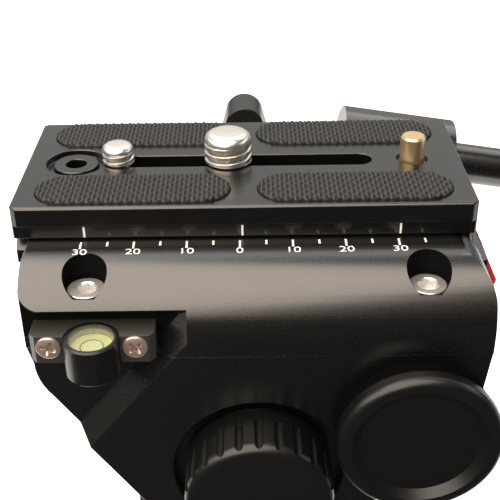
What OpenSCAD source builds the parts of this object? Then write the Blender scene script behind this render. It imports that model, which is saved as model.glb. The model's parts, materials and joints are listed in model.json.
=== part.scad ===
// Fluid video head with a sliding camera plate, drag drums, level and pan handle.
// Origin: middle of the base's underside. +Z up, +X to the operator, -Y to the level side.

/* [Sliding plate] */
// Length of the sliding plate
plate_l = 88; // [80:1:120]
// Width of the sliding plate
plate_w = 40; // [39:0.5:44]
// Height of the plate's upper rim
rim_h = 4; // [3.5:0.25:6]
// Height of the plain band below the rim
band_h = 2.8; // [1.5:0.1:4]
// How far the band is set back from the rim
band_inset = 0.6; // [0.2:0.1:1]
// Height of the dovetail
tail_h = 5.8; // [5.5:0.1:7]
// Width of the dovetail's neck
tail_neck_w = 31; // [30:0.5:32]
// Width of the dovetail's foot
tail_foot_w = 37; // [36:0.5:37.5]
// Height of the dovetail's sloped flank
tail_slope_h = 3; // [2:0.25:4]
// Length of the cut across each corner
corner_cut_x = 1.2; // [0.8:0.1:5]
// Depth of the cut across each corner
corner_cut_y = 0.9; // [0.6:0.1:3]
// Where the plate stands along its travel at rest
plate_x = -2.2; // [-10:0.1:10]
// Travel of the plate each way
plate_travel = 30; // [15:1:30]

/* [Camera screws and pin] */
// Width of the slot that the camera screws run in
slot_w = 5.2; // [5:0.1:6]
// Length of that slot
slot_l = 54.1; // [50:0.1:58]
// Width of the channel below the slot
channel_w = 14.6; // [14.2:0.1:15]
// Depth of the channel below the slot
channel_h = 4.5; // [4:0.1:5]
// Radius of the quarter inch camera screw
quarter_r = 3.175; // [3:0.005:3.3]
// Where the quarter inch screw stands on the plate
quarter_x = -25.5; // [-25.5:0.5:-20]
// Radius of the three eighths camera screw
large_r = 4.76; // [4.5:0.01:5]
// Where the three eighths screw stands on the plate
large_x = -3.2; // [-5:0.1:0]
// Radius of the necks of both screws
neck_r = 2.4; // [2:0.05:2.45]
// Radius of the heads of both screws
screw_head_r = 6.6; // [6:0.1:6.9]
// Height of the thread of the quarter inch screw above the plate
quarter_h = 4; // [3:0.25:6]
// Height of the thread of the three eighths screw above the plate
large_h = 6.4; // [3:0.1:7]
// Thickness of the washers that hold the screws in the slot
washer_h = 0.8; // [0.6:0.1:1]
// Radius of the locating pin
pin_r = 2.5; // [2:0.05:2.75]
// Where the pin stands on the plate
pin_x = 34.2; // [34:0.1:37]
// Height of the pin above the plate
pin_h = 5; // [4:0.1:5]
// Radius of the round recess at the plate's other end
recess_r = 6; // [4:0.1:6.2]
// Where the round recess stands on the plate
recess_x = -34.2; // [-36:0.1:-33]
// Depth of the round recess
recess_h = 1.4; // [1:0.1:3]
// Radius of the boss in the middle of the recess
boss_r = 4.5; // [3.5:0.1:4.8]
// How far the boss stays below the plate's top
boss_drop = 0.3; // [0.1:0.1:0.8]
// Radius of the hole in the boss
recess_hole_r = 2.1; // [1.5:0.1:3]

/* [Rubber pads] */
// Length of each rubber pad
pad_l = 37.6; // [30:0.2:39]
// Width of each rubber pad
pad_w = 11.2; // [9:0.1:11.5]
// Height of a pad above the plate
pad_h = 1; // [0.5:0.1:1.5]
// Depth of a pad's seat in the plate
pad_seat = 1; // [0.5:0.1:1.2]
// Distance from the plate's middle to a pad's middle, along the plate
pad_x = 21.4; // [20.5:0.1:22]
// Distance from the plate's middle to a pad's middle, across the plate
pad_y = 12.9; // [12.6:0.1:13.2]

/* [Platform] */
// Length of the curved side blocks
block_l = 87.6; // [84:0.2:92]
// Height of the curved side blocks
block_h = 16.9; // [16.5:0.1:19]
// Radius of the curved sides
side_r = 14; // [13:0.25:15]
// Flat strip between the plate and the start of the curve
block_lip = 0.5; // [0.2:0.1:1.5]
// Radius of the blocks' upper corner at the front end
front_corner_r = 1.25; // [1:0.25:5]
// Radius of the blocks' upper corner at the operator's end
rear_corner_r = 7.5; // [2:0.25:8]
// How far the deck stands out past the blocks at each end
deck_proud = 1; // [0.5:0.1:2]
// Thickness of the deck's side flanges
flange_h = 2.5; // [2:0.1:2.8]
// Thickness of the blocks' skirt outside the flanges
skirt_w = 2.4; // [2:0.1:3]
// Vertical running gap of the sliding plate
slide_gap = 0.3; // [0.2:0.05:0.4]
// Side gap of the dovetail
tail_gap = 0.7; // [0.6:0.05:0.8]
// Distance from the ends of the blocks to the block screws
screw_end = 12.1; // [11:0.1:15]
// Radius of a block screw's head
cap_r = 3.5; // [3:0.1:3.7]
// Height of a block screw's head
cap_h = 2.6; // [2.5:0.1:3.2]
// Radius of a block screw's shank
cap_shank_r = 2; // [1.5:0.1:2.2]
// Length of a block screw's shank
cap_shank_l = 20; // [16:1:24]
// Hexagon size of the block screws, across flats
cap_hex = 3; // [2:0.1:3.5]
// Radius of the counterbores
bore_r = 4.15; // [3.9:0.05:4.3]
// Depth of the counterbores' floor below the top of the blocks
bore_drop = 5.6; // [5.4:0.1:5.8]
// Depth of the block screws' seats below that floor
cap_sink = 2.4; // [2:0.1:2.5]
// Distance from the outer face to the block screws
screw_inset = 6.5; // [5.9:0.1:7]

/* [Level] */
// Depth of the recess that holds the level
level_recess = 3.8; // [3.5:0.1:3.9]
// Distance from the top of the blocks to the recess's upper edge
level_drop = 7.4; // [7.2:0.1:8.2]
// Length of the recess from the blocks' front end
level_wall = 30.8; // [29:0.2:35]
// Height of the start of the slanting bank above the seam
bank_rise = 3.1; // [2.7:0.1:3.3]
// Lean of the bank from the vertical
bank_lean = 39; // [30:1:45]
// Width of the level's bracket
level_w = 22.8; // [21:0.2:23.4]
// Height of the bracket
level_h = 5.8; // [5.5:0.1:6]
// Depth of the bracket
level_d = 5.5; // [5:0.1:7]
// Distance from the blocks' front end to the middle of the level
level_inset = 13.6; // [12.8:0.1:15.8]
// Radius of the level's cup
cup_r = 5.1; // [4.5:0.05:5.2]
// Height of the level's cup
cup_h = 8; // [7:0.1:10]
// Wall of the level's cup
cup_wall = 0.8; // [0.6:0.05:1]
// Distance between the bracket's screws
level_pitch = 15.8; // [15.4:0.1:16.4]
// Radius of the bracket screws' heads
level_head_r = 2.3; // [2:0.05:2.4]
// Height of the bracket screws' heads
level_head_h = 0.8; // [0.6:0.1:1.2]
// Radius of the block's lower corner above the level
level_corner_r = 4.25; // [2:0.25:4.5]

/* [Side housings] */
// Height of the tilt axis above the base
tilt_z = 60; // [58:0.5:64]
// Height of the seam under the blocks above the tilt axis
seam_rise = 28; // [27:0.5:31]
// Radius of the housings' lower end
cheek_r = 24; // [23:0.5:25]
// Radius of the housings' front corner
cheek_front_r = 12; // [10:0.5:13]
// Drop of the front corner's centre below the seam
cheek_front_drop = 4; // [2:0.5:6]
// Radius of the housings' rear corner
cheek_rear_r = 12.5; // [10:0.5:13]
// Drop of the rear corner's centre below the seam
cheek_rear_drop = 9; // [6:0.5:9]
// Inset of the housings' ends from the ends of the blocks
cheek_inset = 1; // [0.5:0.25:2]
// Thickness of the housings' outer wall at the axle
cheek_wall = 8.5; // [8:0.25:10]
// Radius of the drum space in each housing
drum_space_r = 17; // [16.6:0.1:18]
// Radius of the handle rosettes
rosette_r = 15; // [14:0.1:15.4]
// Distance from the end of the blocks to the rosettes' middle
rosette_inset = 13.3; // [13:0.1:14]
// Height of the rosettes above the tilt axis
rosette_rise = 11.3; // [11:0.1:14]
// Height of a rosette above the housing
rosette_h = 2.2; // [1.5:0.1:3]
// Radius of the thread in the rosettes
rosette_thread_r = 3; // [2.5:0.1:4]
// Thickness of the cap on the free rosette
rosette_cap_h = 4.6; // [4:0.1:8]
// Radius of the cap on the free rosette
rosette_cap_r = 15.9; // [15.5:0.1:16.5]
// Width of the cap's rim
rosette_cap_rim = 4.4; // [3.5:0.1:6]
// Depth of the dish in the cap
rosette_cap_dish = 1.4; // [0.8:0.1:2]

/* [Tilt axle] */
// Radius of the tilt axle
axle_r = 7; // [6:0.25:7.25]
// Wall of the plain bushes
bush_wall = 2.4; // [1.5:0.1:2.6]
// Radial running clearance of shafts
running_gap = 0.05; // [0.02:0.01:0.1]
// Free gap between faces that pass each other
face_gap = 0.4; // [0.3:0.05:0.5]
// Gap beside the moving edge of a drum
drum_gap = 0.6; // [0.4:0.05:0.8]
// Length of a bush
bush_l = 4.5; // [4:0.1:5]
// Radius of the drag knob
drag_knob_r = 14.5; // [10:0.5:15]
// Length of the drag knob
drag_knob_l = 13; // [10:0.5:16]
// Depth of the round recess behind the drag knob
drag_recess = 3; // [2:0.1:3.2]
// Radius of the counterbalance spring at its wire's middle
spring_r = 10.4; // [10:0.1:11]
// Thickness of the spring's wire
spring_wire = 2; // [1.5:0.1:2.2]
// Turns of the counterbalance spring
spring_turns = 3; // [2:1:3]
// Depth of the spring's pocket in the pillar
spring_pocket = 9.5; // [9.3:0.1:10]

/* [Pan base] */
// Radius of the base
base_r = 31; // [29.5:0.5:36]
// Thickness of the base
base_h = 9; // [8.5:0.5:12]
// Radius of the tripod thread
tripod_r = 4.76; // [3:0.01:5]
// Height of the degree ring
degree_h = 4; // [3.5:0.25:6]
// Width of the degree ring
ring_w = 7; // [6.5:0.1:7.5]
// Width of the degree ring's slanting rim
ring_slant = 1.2; // [0.8:0.1:1.5]
// Gap between the damping wall and the degree ring
ring_gap = 2.6; // [1.5:0.1:4]
// How far the pan drum is set back from the base's rim
drum_inset = 1.5; // [1.3:0.1:2.5]
// Height of the pan drum
drum_h = 11.6; // [11:0.2:12]
// Width of the pillar along the platform
pillar_w = 44; // [40:0.5:45]
// Thickness of the pillar
pillar_t = 28; // [27:0.5:28.4]
// Radius of the pan spindle
spindle_r = 8; // [7.5:0.1:8.25]
// Radius of the spindle's foot
foot_r = 16; // [15:0.25:16.5]
// Thickness of the spindle's foot
foot_h = 3; // [2.5:0.25:3.2]
// Radius of the circle of spindle screws
foot_pcr = 12; // [11.6:0.1:12.2]
// Depth of the spindle screws in the base
spindle_screw_l = 6; // [4:0.5:7]
// Radius of the spindle's threaded top
spindle_top_r = 5; // [4:0.1:6]
// Size of the spindle's nut, across flats
nut_af = 15; // [13:0.5:16]
// Height of the spindle's nut
nut_h = 6; // [5:0.25:8]
// Thickness of the damping wall
fluid_t = 1.4; // [1:0.1:1.6]
// Height of the damping wall
fluid_h = 12; // [11:0.25:12]
// Radius of the pan lock knob
pan_knob_r = 8.5; // [7:0.25:9]
// Length of the pan lock knob
pan_knob_l = 14; // [10:0.5:20]
// Radius of the pan lock's screw
pan_screw_r = 3; // [2.5:0.1:3.5]

/* [Levers and catch] */
// Radius of the tilt lever's hub
tilt_hub_r = 11; // [9:0.5:12]
// Thickness of the tilt lever's hub
tilt_hub_h = 9; // [7:0.5:11]
// Length of the tilt lever from its axis
tilt_lever_l = 40; // [30:1:55]
// Radius of the tilt lever's tip
tilt_tip_r = 5; // [4:0.25:6]
// Radius of the plate lever's hub
plate_hub_r = 7; // [6:0.25:8]
// Thickness of the plate lever
plate_hub_h = 10; // [8:0.5:14]
// Radius of the plate lever's tip
plate_tip_r = 4.5; // [3:0.25:5]
// Length of the plate lever from its axis
plate_lever_l = 9.5; // [6:0.5:14]
// Radius of the plate lever's stem
lever_stem_r = 3; // [2.5:0.1:3.5]
// Height of the plate lever's axis above the seam
plate_lever_rise = 7; // [6.5:0.25:8]
// Length of the clamping jaw
jaw_l = 32; // [24:1:40]
// Distance from the dovetail to the jaw's back
jaw_w = 5; // [4:0.1:5]
// Travel of the clamping jaw
jaw_travel = 0.4; // [0.2:0.05:0.5]
// Width of the safety catch's bar
catch_w = 6; // [5:0.25:6.5]
// Distance from the middle to the inner side of the catch's bar
catch_y = 6.5; // [6.5:0.1:6.8]
// Where the catch's pivot stands along the platform
catch_pivot_x = -26; // [-30:0.5:-22]
// Radius of the catch's pivot pin
catch_pin_r = 1.5; // [1:0.1:2]
// Length of the catch's spring
catch_spring_l = 4.4; // [3.5:0.1:4.8]
// How far the catch's bar reaches past its pivot
catch_tail = 4; // [3:0.25:4.5]
// Reach of the catch's finger plate past the middle
catch_reach = 12; // [8:0.5:16]
// How far the catch's finger plate stands out past the deck
catch_out = 4; // [3:0.1:6]
// How far the catch's nose reaches into the plate
nose_h = 2.2; // [1.5:0.1:2.4]
// Width of the catch's nose
nose_w = 4; // [3:0.25:5]
// Length of the catch's nose
nose_l = 3; // [2:0.25:4]
// Depth below the deck's top where the finger plate turns straight down
finger_bend = 8.7; // [7:0.1:9.5]
// Depth of the finger plate's lower edge below the deck's top
finger_low = 16.5; // [16:0.1:18]

/* [Pan handle] */
// Thickness of the handle bracket's disc
handle_disc_t = 8; // [6:0.5:10]
// Height of the handle's rod above the rosette axis
rod_rise = 20.5; // [20:0.25:24]
// Distance from the housing to the rod's middle
rod_out = 13; // [12.5:0.25:16]
// Radius of the handle's rod
rod_r = 5; // [4.5:0.25:6.5]
// Radius of the barrel that holds the rod
barrel_r = 10.5; // [8.5:0.25:10.75]
// Length of that barrel
barrel_l = 28; // [20:1:34]
// How far the barrel reaches back past the rosettes
barrel_back = 9; // [6:0.5:10]
// Fall of the rod towards the operator
rod_fall = 9; // [0:1:12]
// Length of the rod outside the barrel, up to the grip
rod_l = 70; // [40:5:140]
// Length of the grip
grip_l = 105; // [80:5:130]
// Radius of the grip
grip_r = 14; // [11:0.5:17]
// Length of the straight part of the grip's end cap
grip_cap_l = 4; // [2:0.5:8]
// Radius of the handle's clamping knob
clamp_knob_r = 9; // [8:0.25:9.25]
// Length of the clamping knob
clamp_knob_l = 14; // [10:0.5:18]
// Depth of the bolt's thread in the housing
bolt_depth = 8; // [6:0.5:10]

/* [Hidden] */
$fn = 64;
cut = 0.1;
far = 60;
seam_z = tilt_z + seam_rise;
block_top = seam_z + block_h;
tail_top = block_top + slide_gap;
tail_bottom = tail_top - tail_h;
plate_top = tail_top + band_h + rim_h;
deck_top = tail_bottom - slide_gap;
curve_y = plate_w / 2 + block_lip;
side_y = curve_y + side_r;
foot_in = tail_foot_w / 2 + tail_gap;
lip_in = tail_neck_w / 2 + tail_gap;
flange_y = side_y - skirt_w;
screw_y = side_y - screw_inset;
screw_x = block_l / 2 - screw_end;
bore_step = block_top - bore_drop;
bore_floor = bore_step - cap_sink;
seat_gap = 0.1;
recess_y = side_y - level_recess;
roof_edge = block_top - level_drop;
roof_y = curve_y + sqrt(pow(side_r, 2) - pow(roof_edge - block_top + side_r, 2));
level_top = block_top - level_drop - level_recess + 0.6;
level_mid = level_top - level_h / 2 + 0.6;
level_face = recess_y + level_d;
level_bevel = 1;
level_x = level_inset - block_l / 2;
level_wall_x = level_wall - block_l / 2;
cup_y = -(level_face + 0.2);
cheek_in = pillar_t / 2 + face_gap;
wall_in = side_y - cheek_wall;
axle_end = wall_in + bush_l - face_gap;
rosette_x = block_l / 2 - rosette_inset;
rosette_z = tilt_z + rosette_rise;
rosette_face = side_y + rosette_h;
front_x = -block_l / 2 + cheek_inset;
rear_x = block_l / 2 - cheek_inset;
front_c = [front_x + cheek_front_r, seam_rise - cheek_front_drop];
rear_c = [rear_x - cheek_rear_r, seam_rise - cheek_rear_drop];
ring_in = base_r - ring_w;
fluid_r = ring_in - ring_gap - fluid_t / 2;
drum_r = base_r - drum_inset;
ring_top = base_h + degree_h;
drum_z = ring_top + face_gap;
drum_top = drum_z + drum_h;
thrust_h = 1.5;
hub_z = base_h + foot_h + thrust_h + running_gap;
spindle_shoulder = drum_top + 8;
washer_top = spindle_shoulder + thrust_h;
bush_r = spindle_r + running_gap + bush_wall;
pan_screw_z = base_h + fluid_h - pan_screw_r;
pan_knob_y = side_y + 2;
lever_z = seam_z + plate_lever_rise;
jaw_back = foot_in + jaw_w;
catch_z = seam_z + 5.5;
catch_bar_h = 6;
deck_end = block_l / 2 + deck_proud;
rod_y = side_y + rod_out;
rod_z = rosette_z + rod_rise;
handle_in = rosette_face + face_gap;
handle_out = handle_in + handle_disc_t;
spindle_screw_r = 1.5;
spindle_head_r = 2.6;
spindle_head_h = 1.5;
spindle_hex = 2;
base_edge = 1;
ring_foot = 1;
nose_gap = 0.4;
finger_gap = 0.4;
finger_tip = 1;
level_shank_r = 1.25;
blend = 0.05;
pan_shoe_y = fluid_r + fluid_t / 2 + 0.3;
pan_shoe_l = 3;
pan_screw_in = pan_shoe_y + pan_shoe_l + 0.2;
cup_floor = level_top - 3;
cap_in = rosette_face + 0.3;
cap_out = cap_in + rosette_cap_h;
drag_floor = side_y - drag_recess;
tilt_lever_turn = 218;
pad_places = [[-pad_x, -pad_y], [pad_x, -pad_y], [-pad_x, pad_y], [pad_x, pad_y]];
slot_x = quarter_x - slot_w / 2 + slot_l / 2;
channel_start = quarter_x - channel_w / 2;
pin_guide_r = pin_r + 0.6;
pin_bore_r = pin_guide_r + 1.5;
channel_end = pin_x - pin_bore_r - 1.3;
channel_top = tail_bottom + channel_h;
pin_seat = plate_top - rim_h - 1.9;
pin_collar = 0.8;
pin_collar_r = pin_bore_r - 0.3;
plug_h = 1;
barrel_front = barrel_l - barrel_back;
rod_end = barrel_front + rod_l;
grip_end = rod_end + grip_l;
bolt_r = rosette_thread_r - running_gap;
clamp_in = handle_out + face_gap;

// Cylinder along Y from y0 to y1, on the axis through x and z
module across(x, z, r, y0, y1) {
    translate([x, y0, z])
        rotate([-90, 0, 0])
            cylinder(r = r, h = y1 - y0);
}

// Vertical cylinder from z0 to z1
module upright(x, y, r, z0, z1) {
    translate([x, y, z0])
        cylinder(r = r, h = z1 - z0);
}

// Extrudes an outline drawn in Y and Z along X
module along_x(x0, x1) {
    translate([x0, 0, 0])
        rotate([90, 0, 90])
            linear_extrude(x1 - x0)
                children();
}

// Extrudes an outline drawn in X and Z along Y
module along_y(y0, y1) {
    translate([0, y1, 0])
        rotate([90, 0, 0])
            linear_extrude(y1 - y0)
                children();
}

// Turned body along Y; its outline has the radius first and the distance along Y second
module turned_y(x, z) {
    translate([x, 0, z])
        rotate([-90, 0, 0])
            rotate_extrude()
                children();
}

// Outline with round ends, centred
module stadium(l, w) {
    square([l - w, w], center = true);
    for (s = [-1, 1])
        translate([s * (l - w) / 2, 0])
            circle(w / 2);
}

// Rectangle from corner to corner, with its two outer corners rounded by r
module rounded_end(r0, r1, h0, h1, r) {
    translate([r0, h0])
        square([r1 - r0 - r, h1 - h0]);
    translate([r0, h0 + r])
        square([r1 - r0, h1 - h0 - 2 * r]);
    for (h = [h0 + r, h1 - r])
        translate([r1 - r, h])
            circle(r);
}

// Points of a coil's rings: turns round Z with radius r, rising to height h
function coil_point(r, h, turns, wire_r, t, a) =
    let (turn = 360 * turns * t, out = r + wire_r * cos(a))
    [out * cos(turn), out * sin(turn), h * t + wire_r * sin(a)];

// Round wire wound into a coil that stands on Z = 0
module coil(r, h, turns, wire, steps = 12, sides = 6) {
    rings = turns * steps;
    points = [
        for (i = [0:rings], k = [0:sides - 1])
            coil_point(r, h - wire, turns, wire / 2, i / rings, 360 * k / sides)
    ];
    walls = [
        for (i = [0:rings - 1], k = [0:sides - 1], half = [0, 1])
            let (a = i * sides + k, b = i * sides + (k + 1) % sides)
            half == 0 ? [a, a + sides, b] : [b, a + sides, b + sides]
    ];
    ends = [
        for (k = [1:sides - 2], e = [0, 1])
            e == 0 ? [0, k, k + 1] : [rings * sides, rings * sides + k + 1, rings * sides + k]
    ];
    translate([0, 0, wire / 2])
        polyhedron(points, concat(walls, ends));
}

// Outer tangent of two circles: the touching points on the side that sign chooses
function tangent(c1, r1, c2, r2, sign) =
    let (d = c2 - c1, turn = atan2(d.y, d.x) + sign * acos((r1 - r2) / norm(d)))
    let (n = [cos(turn), sin(turn)])
    [c1 + r1 * n, c2 + r2 * n];

// Base

module base_flange() color("#1b1b1d")
    difference() {
        rotate_extrude()
            polygon([
                [0, 0], [base_r - base_edge, 0], [base_r, base_edge], [base_r, base_h], [0, base_h]
            ]);
        upright(0, 0, tripod_r, -cut, base_h + cut);
        spindle_places()
            upright(0, 0, spindle_screw_r, base_h - spindle_screw_l, base_h + cut);
    }

module degree_ring() color("#202022")
    rotate_extrude()
        polygon([
            [ring_in, base_h], [base_r, base_h],
            [base_r, base_h + ring_foot], [base_r - ring_slant, ring_top], [ring_in, ring_top]
        ]);

module spindle_places()
    for (k = [0:2])
        rotate(120 * k + 30)
            translate([foot_pcr, 0, 0])
                children();

module pan_spindle() color("#b9bcc0")
    difference() {
        rotate_extrude()
            polygon([
                [0, base_h], [foot_r, base_h], [foot_r, base_h + foot_h], [spindle_r, base_h + foot_h],
                [spindle_r, spindle_shoulder], [spindle_top_r, spindle_shoulder],
                [spindle_top_r, washer_top + nut_h + 1], [0, washer_top + nut_h + 1]
            ]);
        spindle_places()
            upright(0, 0, spindle_screw_r, base_h - cut, base_h + foot_h + cut);
        spindle_places()
            upright(0, 0, spindle_head_r, base_h + foot_h - spindle_head_h - seat_gap, base_h + foot_h + cut);
    }

module spindle_screws() color("#8d9096")
    spindle_places() {
        upright(0, 0, spindle_screw_r, base_h - spindle_screw_l, base_h + foot_h - spindle_head_h);
        difference() {
            upright(0, 0, spindle_head_r, base_h + foot_h - spindle_head_h - seat_gap, base_h + foot_h - seat_gap);
            translate([0, 0, base_h + foot_h - spindle_head_h / 2])
                cylinder(d = spindle_hex / cos(30), h = spindle_head_h, $fn = 6);
        }
    }

module pan_fluid_cup() color("#a9acb0")
    difference() {
        union() {
            upright(0, 0, fluid_r + fluid_t / 2, base_h, base_h + fluid_h);
            upright(0, 0, ring_in - cut, base_h, base_h + 2);
        }
        upright(0, 0, fluid_r - fluid_t / 2, base_h - cut, base_h + fluid_h + cut);
    }

module pan_thrust_washer() color("#e8e4d8")
    difference() {
        upright(0, 0, spindle_r + 3.2, base_h + foot_h, base_h + foot_h + thrust_h);
        upright(0, 0, spindle_r + running_gap, base_h, hub_z);
    }

module spindle_washer() color("#a4a7ab")
    difference() {
        upright(0, 0, bush_r - drum_gap, spindle_shoulder, washer_top);
        upright(0, 0, spindle_top_r, spindle_shoulder - cut, washer_top + cut);
    }

module spindle_nut() color("#9c9fa4")
    difference() {
        translate([0, 0, washer_top])
            cylinder(d = nut_af / cos(30), h = nut_h, $fn = 6);
        upright(0, 0, spindle_top_r, washer_top - cut, washer_top + nut_h + cut);
    }

// Pan body

module pan_housing() color("#1c1c1e")
    difference() {
        union() {
            rotate_extrude()
                polygon([
                    [0, drum_z], [drum_r, drum_z], [drum_r, drum_top - 2],
                    [drum_r - 2, drum_top], [0, drum_top]
                ]);
            translate([-pillar_w / 2 + blend, -pillar_t / 2, drum_top - 1])
                cube([pillar_w - 2 * blend, pillar_t, tilt_z - drum_top + 1]);
            across(0, tilt_z, pillar_w / 2, -pillar_t / 2, pillar_t / 2);
        }
        upright(0, 0, spindle_r + 3.2 + face_gap, drum_z - cut, hub_z);
        upright(0, 0, bush_r, hub_z - cut, washer_top + nut_h + 3);
        difference() {
            upright(0, 0, fluid_r + fluid_t / 2 + face_gap, drum_z - cut, base_h + fluid_h + face_gap);
            upright(0, 0, fluid_r - fluid_t / 2 - face_gap, drum_z - 2 * cut, base_h + fluid_h + 1);
        }
        across(0, tilt_z, axle_r, -pillar_t, pillar_t);
        across(0, tilt_z, spring_r + spring_wire / 2 + drum_gap, pillar_t / 2 - spring_pocket, pillar_t);
        across(0, pan_screw_z, pan_screw_r + running_gap, -drum_r - cut, -fluid_r);
    }

module pan_bush() color("#b08d57")
    difference() {
        upright(0, 0, bush_r, hub_z, spindle_shoulder - running_gap);
        upright(0, 0, spindle_r + running_gap, hub_z - cut, spindle_shoulder);
    }

module pan_brake_shoe() color("#d8d2c0")
    across(0, pan_screw_z, pan_screw_r, -pan_shoe_y - pan_shoe_l, -pan_shoe_y);

module tilt_axle() color("#b4b7bb")
    across(0, tilt_z, axle_r, -axle_end, axle_end);

module tilt_damper_drum() color("#a9acb0")
    difference() {
        across(0, tilt_z, drum_space_r - drum_gap, -wall_in + face_gap, -cheek_in);
        across(0, tilt_z, axle_r, -side_y, side_y);
    }

module counterbalance_spring() color("#6f7378")
    translate([0, pillar_t / 2 - spring_pocket, tilt_z])
        rotate([-90, 0, 0])
            coil(spring_r, spring_pocket - 0.5, spring_turns, spring_wire, 16, 8);

module pan_lock_screw() color("#9a9da2")
    across(0, pan_screw_z, pan_screw_r, -pan_knob_y, -pan_screw_in);

module pan_lock_knob() color("#19191b")
    difference() {
        mirror([0, 1, 0])
            turned_y(0, pan_screw_z)
                rounded_end(0, pan_knob_r, pan_knob_y, pan_knob_y + pan_knob_l, 1.6);
        for (k = [0:11])
            translate([0, 0, pan_screw_z])
                rotate([0, 30 * k, 0])
                    across(pan_knob_r + 0.7, 0, 1.3, -pan_knob_y - pan_knob_l - cut, -pan_knob_y - 2.5);
    }

// Tilting body

// Outline of a side block before its edge is rounded, in Y and Z
module block_profile()
    polygon([
        [lip_in, block_top], [side_y, block_top], [side_y, seam_z], [flange_y, seam_z],
        [flange_y, seam_z + flange_h], [foot_in, seam_z + flange_h], [foot_in, block_top - tail_slope_h]
    ]);

// What is cut away to round the upper end of a block with radius r; side is -1 or 1
module end_waste(side, r)
    difference() {
        translate([side * (block_l / 2 - r / 2 + cut), side_y / 2, block_top - r / 2 + cut])
            cube([r + 2 * cut, side_y + 2, r + 2 * cut], center = true);
        across(side * (block_l / 2 - r), block_top - r, r, -2, side_y + 2);
    }

// Plain curved block on the +Y side
module side_blank()
    difference() {
        along_x(-block_l / 2, block_l / 2)
            block_profile();
        difference() {
            translate([-far, curve_y, block_top - side_r])
                cube([2 * far, side_r + 1, side_r + 1]);
            translate([-far, curve_y, block_top - side_r])
                rotate([0, 90, 0])
                    cylinder(r = side_r, h = 2 * far, $fn = 96);
        }
        end_waste(-1, front_corner_r);
        end_waste(1, rear_corner_r);
    }

// Places of the block screws on the +Y side
module block_screw_places()
    for (s = [-1, 1])
        translate([s * screw_x, screw_y, 0])
            children();

module counterbores()
    block_screw_places() {
        upright(0, 0, bore_r, bore_step, block_top + 1);
        upright(0, 0, cap_r + seat_gap, bore_floor, bore_step + cut);
        upright(0, 0, cap_shank_r, seam_z - cut, bore_floor + cut);
    }

// The recess that holds the level: a slab cut in from the front end and from -Y,
// under a sloping roof and above a slanting bank, both leaning out at 45 degrees
module level_space() {
    roof = roof_edge - (roof_y - recess_y);
    difference() {
        translate([-far, -far, 0])
            cube([far + level_wall_x, far - recess_y, 2 * far]);
        along_x(-far - 1, 0)
            polygon([[1 - recess_y, roof - 1], [1 - recess_y, roof + far], [-recess_y - far, roof + far]]);
        translate([level_wall_x, 0, seam_z + bank_rise])
            rotate([0, bank_lean, 0])
                translate([0, 0, -2 * far])
                    linear_extrude(3 * far)
                        polygon([
                            [far + 1 - side_y, -far - 1], [-level_recess - 1, 1 - recess_y],
                            [2 * far, 1 - recess_y], [2 * far, -far - 1]
                        ]);
    }
}

// What is cut away to round the corner between the block's front end and the recess's roof
module level_corner()
    intersection() {
        translate([-far, -far, 0])
            cube([far, far - recess_y, 2 * far]);
        translate([-block_l / 2, -roof_y, roof_edge])
            rotate([-45, 0, 0])
                difference() {
                    translate([-1, -far / 2, -1])
                        cube([level_corner_r + 1, far, level_corner_r + 1]);
                    translate([0, -far, 0])
                        across(level_corner_r - blend, level_corner_r - blend, level_corner_r, 0, 2 * far);
                }
    }

module near_side_block() color("#232322")
    difference() {
        mirror([0, 1, 0])
            side_blank();
        mirror([0, 1, 0])
            counterbores();
        level_space();
        level_corner();
        level_screw_holes();
    }

module far_side_block() color("#232322")
    difference() {
        side_blank();
        counterbores();
        translate([plate_x - jaw_l / 2 - 0.2, 0, seam_z + flange_h - cut])
            cube([jaw_l + 0.4, jaw_back + jaw_travel + 0.3, block_h]);
        across(plate_x, lever_z, lever_stem_r + running_gap, foot_in, side_y + 1);
    }

module clamp_jaw() color("#2c2c2e")
    intersection() {
        side_blank();
        translate([plate_x - jaw_l / 2, 0, seam_z + flange_h + 0.2])
            cube([jaw_l, jaw_back, block_h]);
    }

module platform_deck() color("#151516")
    difference() {
        union() {
            translate([-deck_end, -foot_in, seam_z])
                cube([2 * deck_end, 2 * foot_in, deck_top - seam_z]);
            translate([-block_l / 2, -flange_y, seam_z])
                cube([block_l, 2 * flange_y, flange_h]);
        }
        for (s = [0, 1])
            mirror([0, s, 0])
                block_screw_places()
                    upright(0, 0, cap_shank_r, seam_z - cut, seam_z + flange_h + cut);
        level_space();
        translate([catch_pivot_x - catch_tail - 1, catch_y - 0.3, seam_z - cut])
            cube([deck_end - catch_pivot_x + catch_tail + 2, catch_w + 0.6, deck_top - seam_z + 2 * cut]);
        translate([catch_pivot_x - 4.5, 0.5, seam_z + 2])
            cube([9, catch_y, deck_top - seam_z - 4]);
        across(catch_pivot_x, catch_z, catch_pin_r, -2, catch_y + catch_w + 3);
    }

// Flat-sided outline of the housings in X and in height above the tilt axis
module cheek_outline() {
    front_low = tangent(front_c, cheek_front_r - blend, [0, 0], cheek_r - blend, -1);
    rear_low = tangent(rear_c, cheek_rear_r - blend, [0, 0], cheek_r - blend, 1);
    polygon([
        [-block_l / 2, seam_rise], [block_l / 2, seam_rise], [rear_x - blend, rear_c.y], rear_low[0],
        rear_low[1], [0, 0], front_low[1], front_low[0], [front_x + blend, front_c.y]
    ]);
}

// Solid housing on the +Y side, up to the seam
module cheek_solid()
    difference() {
        translate([0, 0, tilt_z]) {
            along_y(cheek_in, side_y)
                cheek_outline();
            across(0, 0, cheek_r, cheek_in, side_y);
            across(front_c.x, front_c.y, cheek_front_r, cheek_in, side_y);
            across(rear_c.x, rear_c.y, cheek_rear_r, cheek_in, side_y);
        }
        translate([-far, 0, seam_z])
            cube([2 * far, far, far]);
    }

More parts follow.
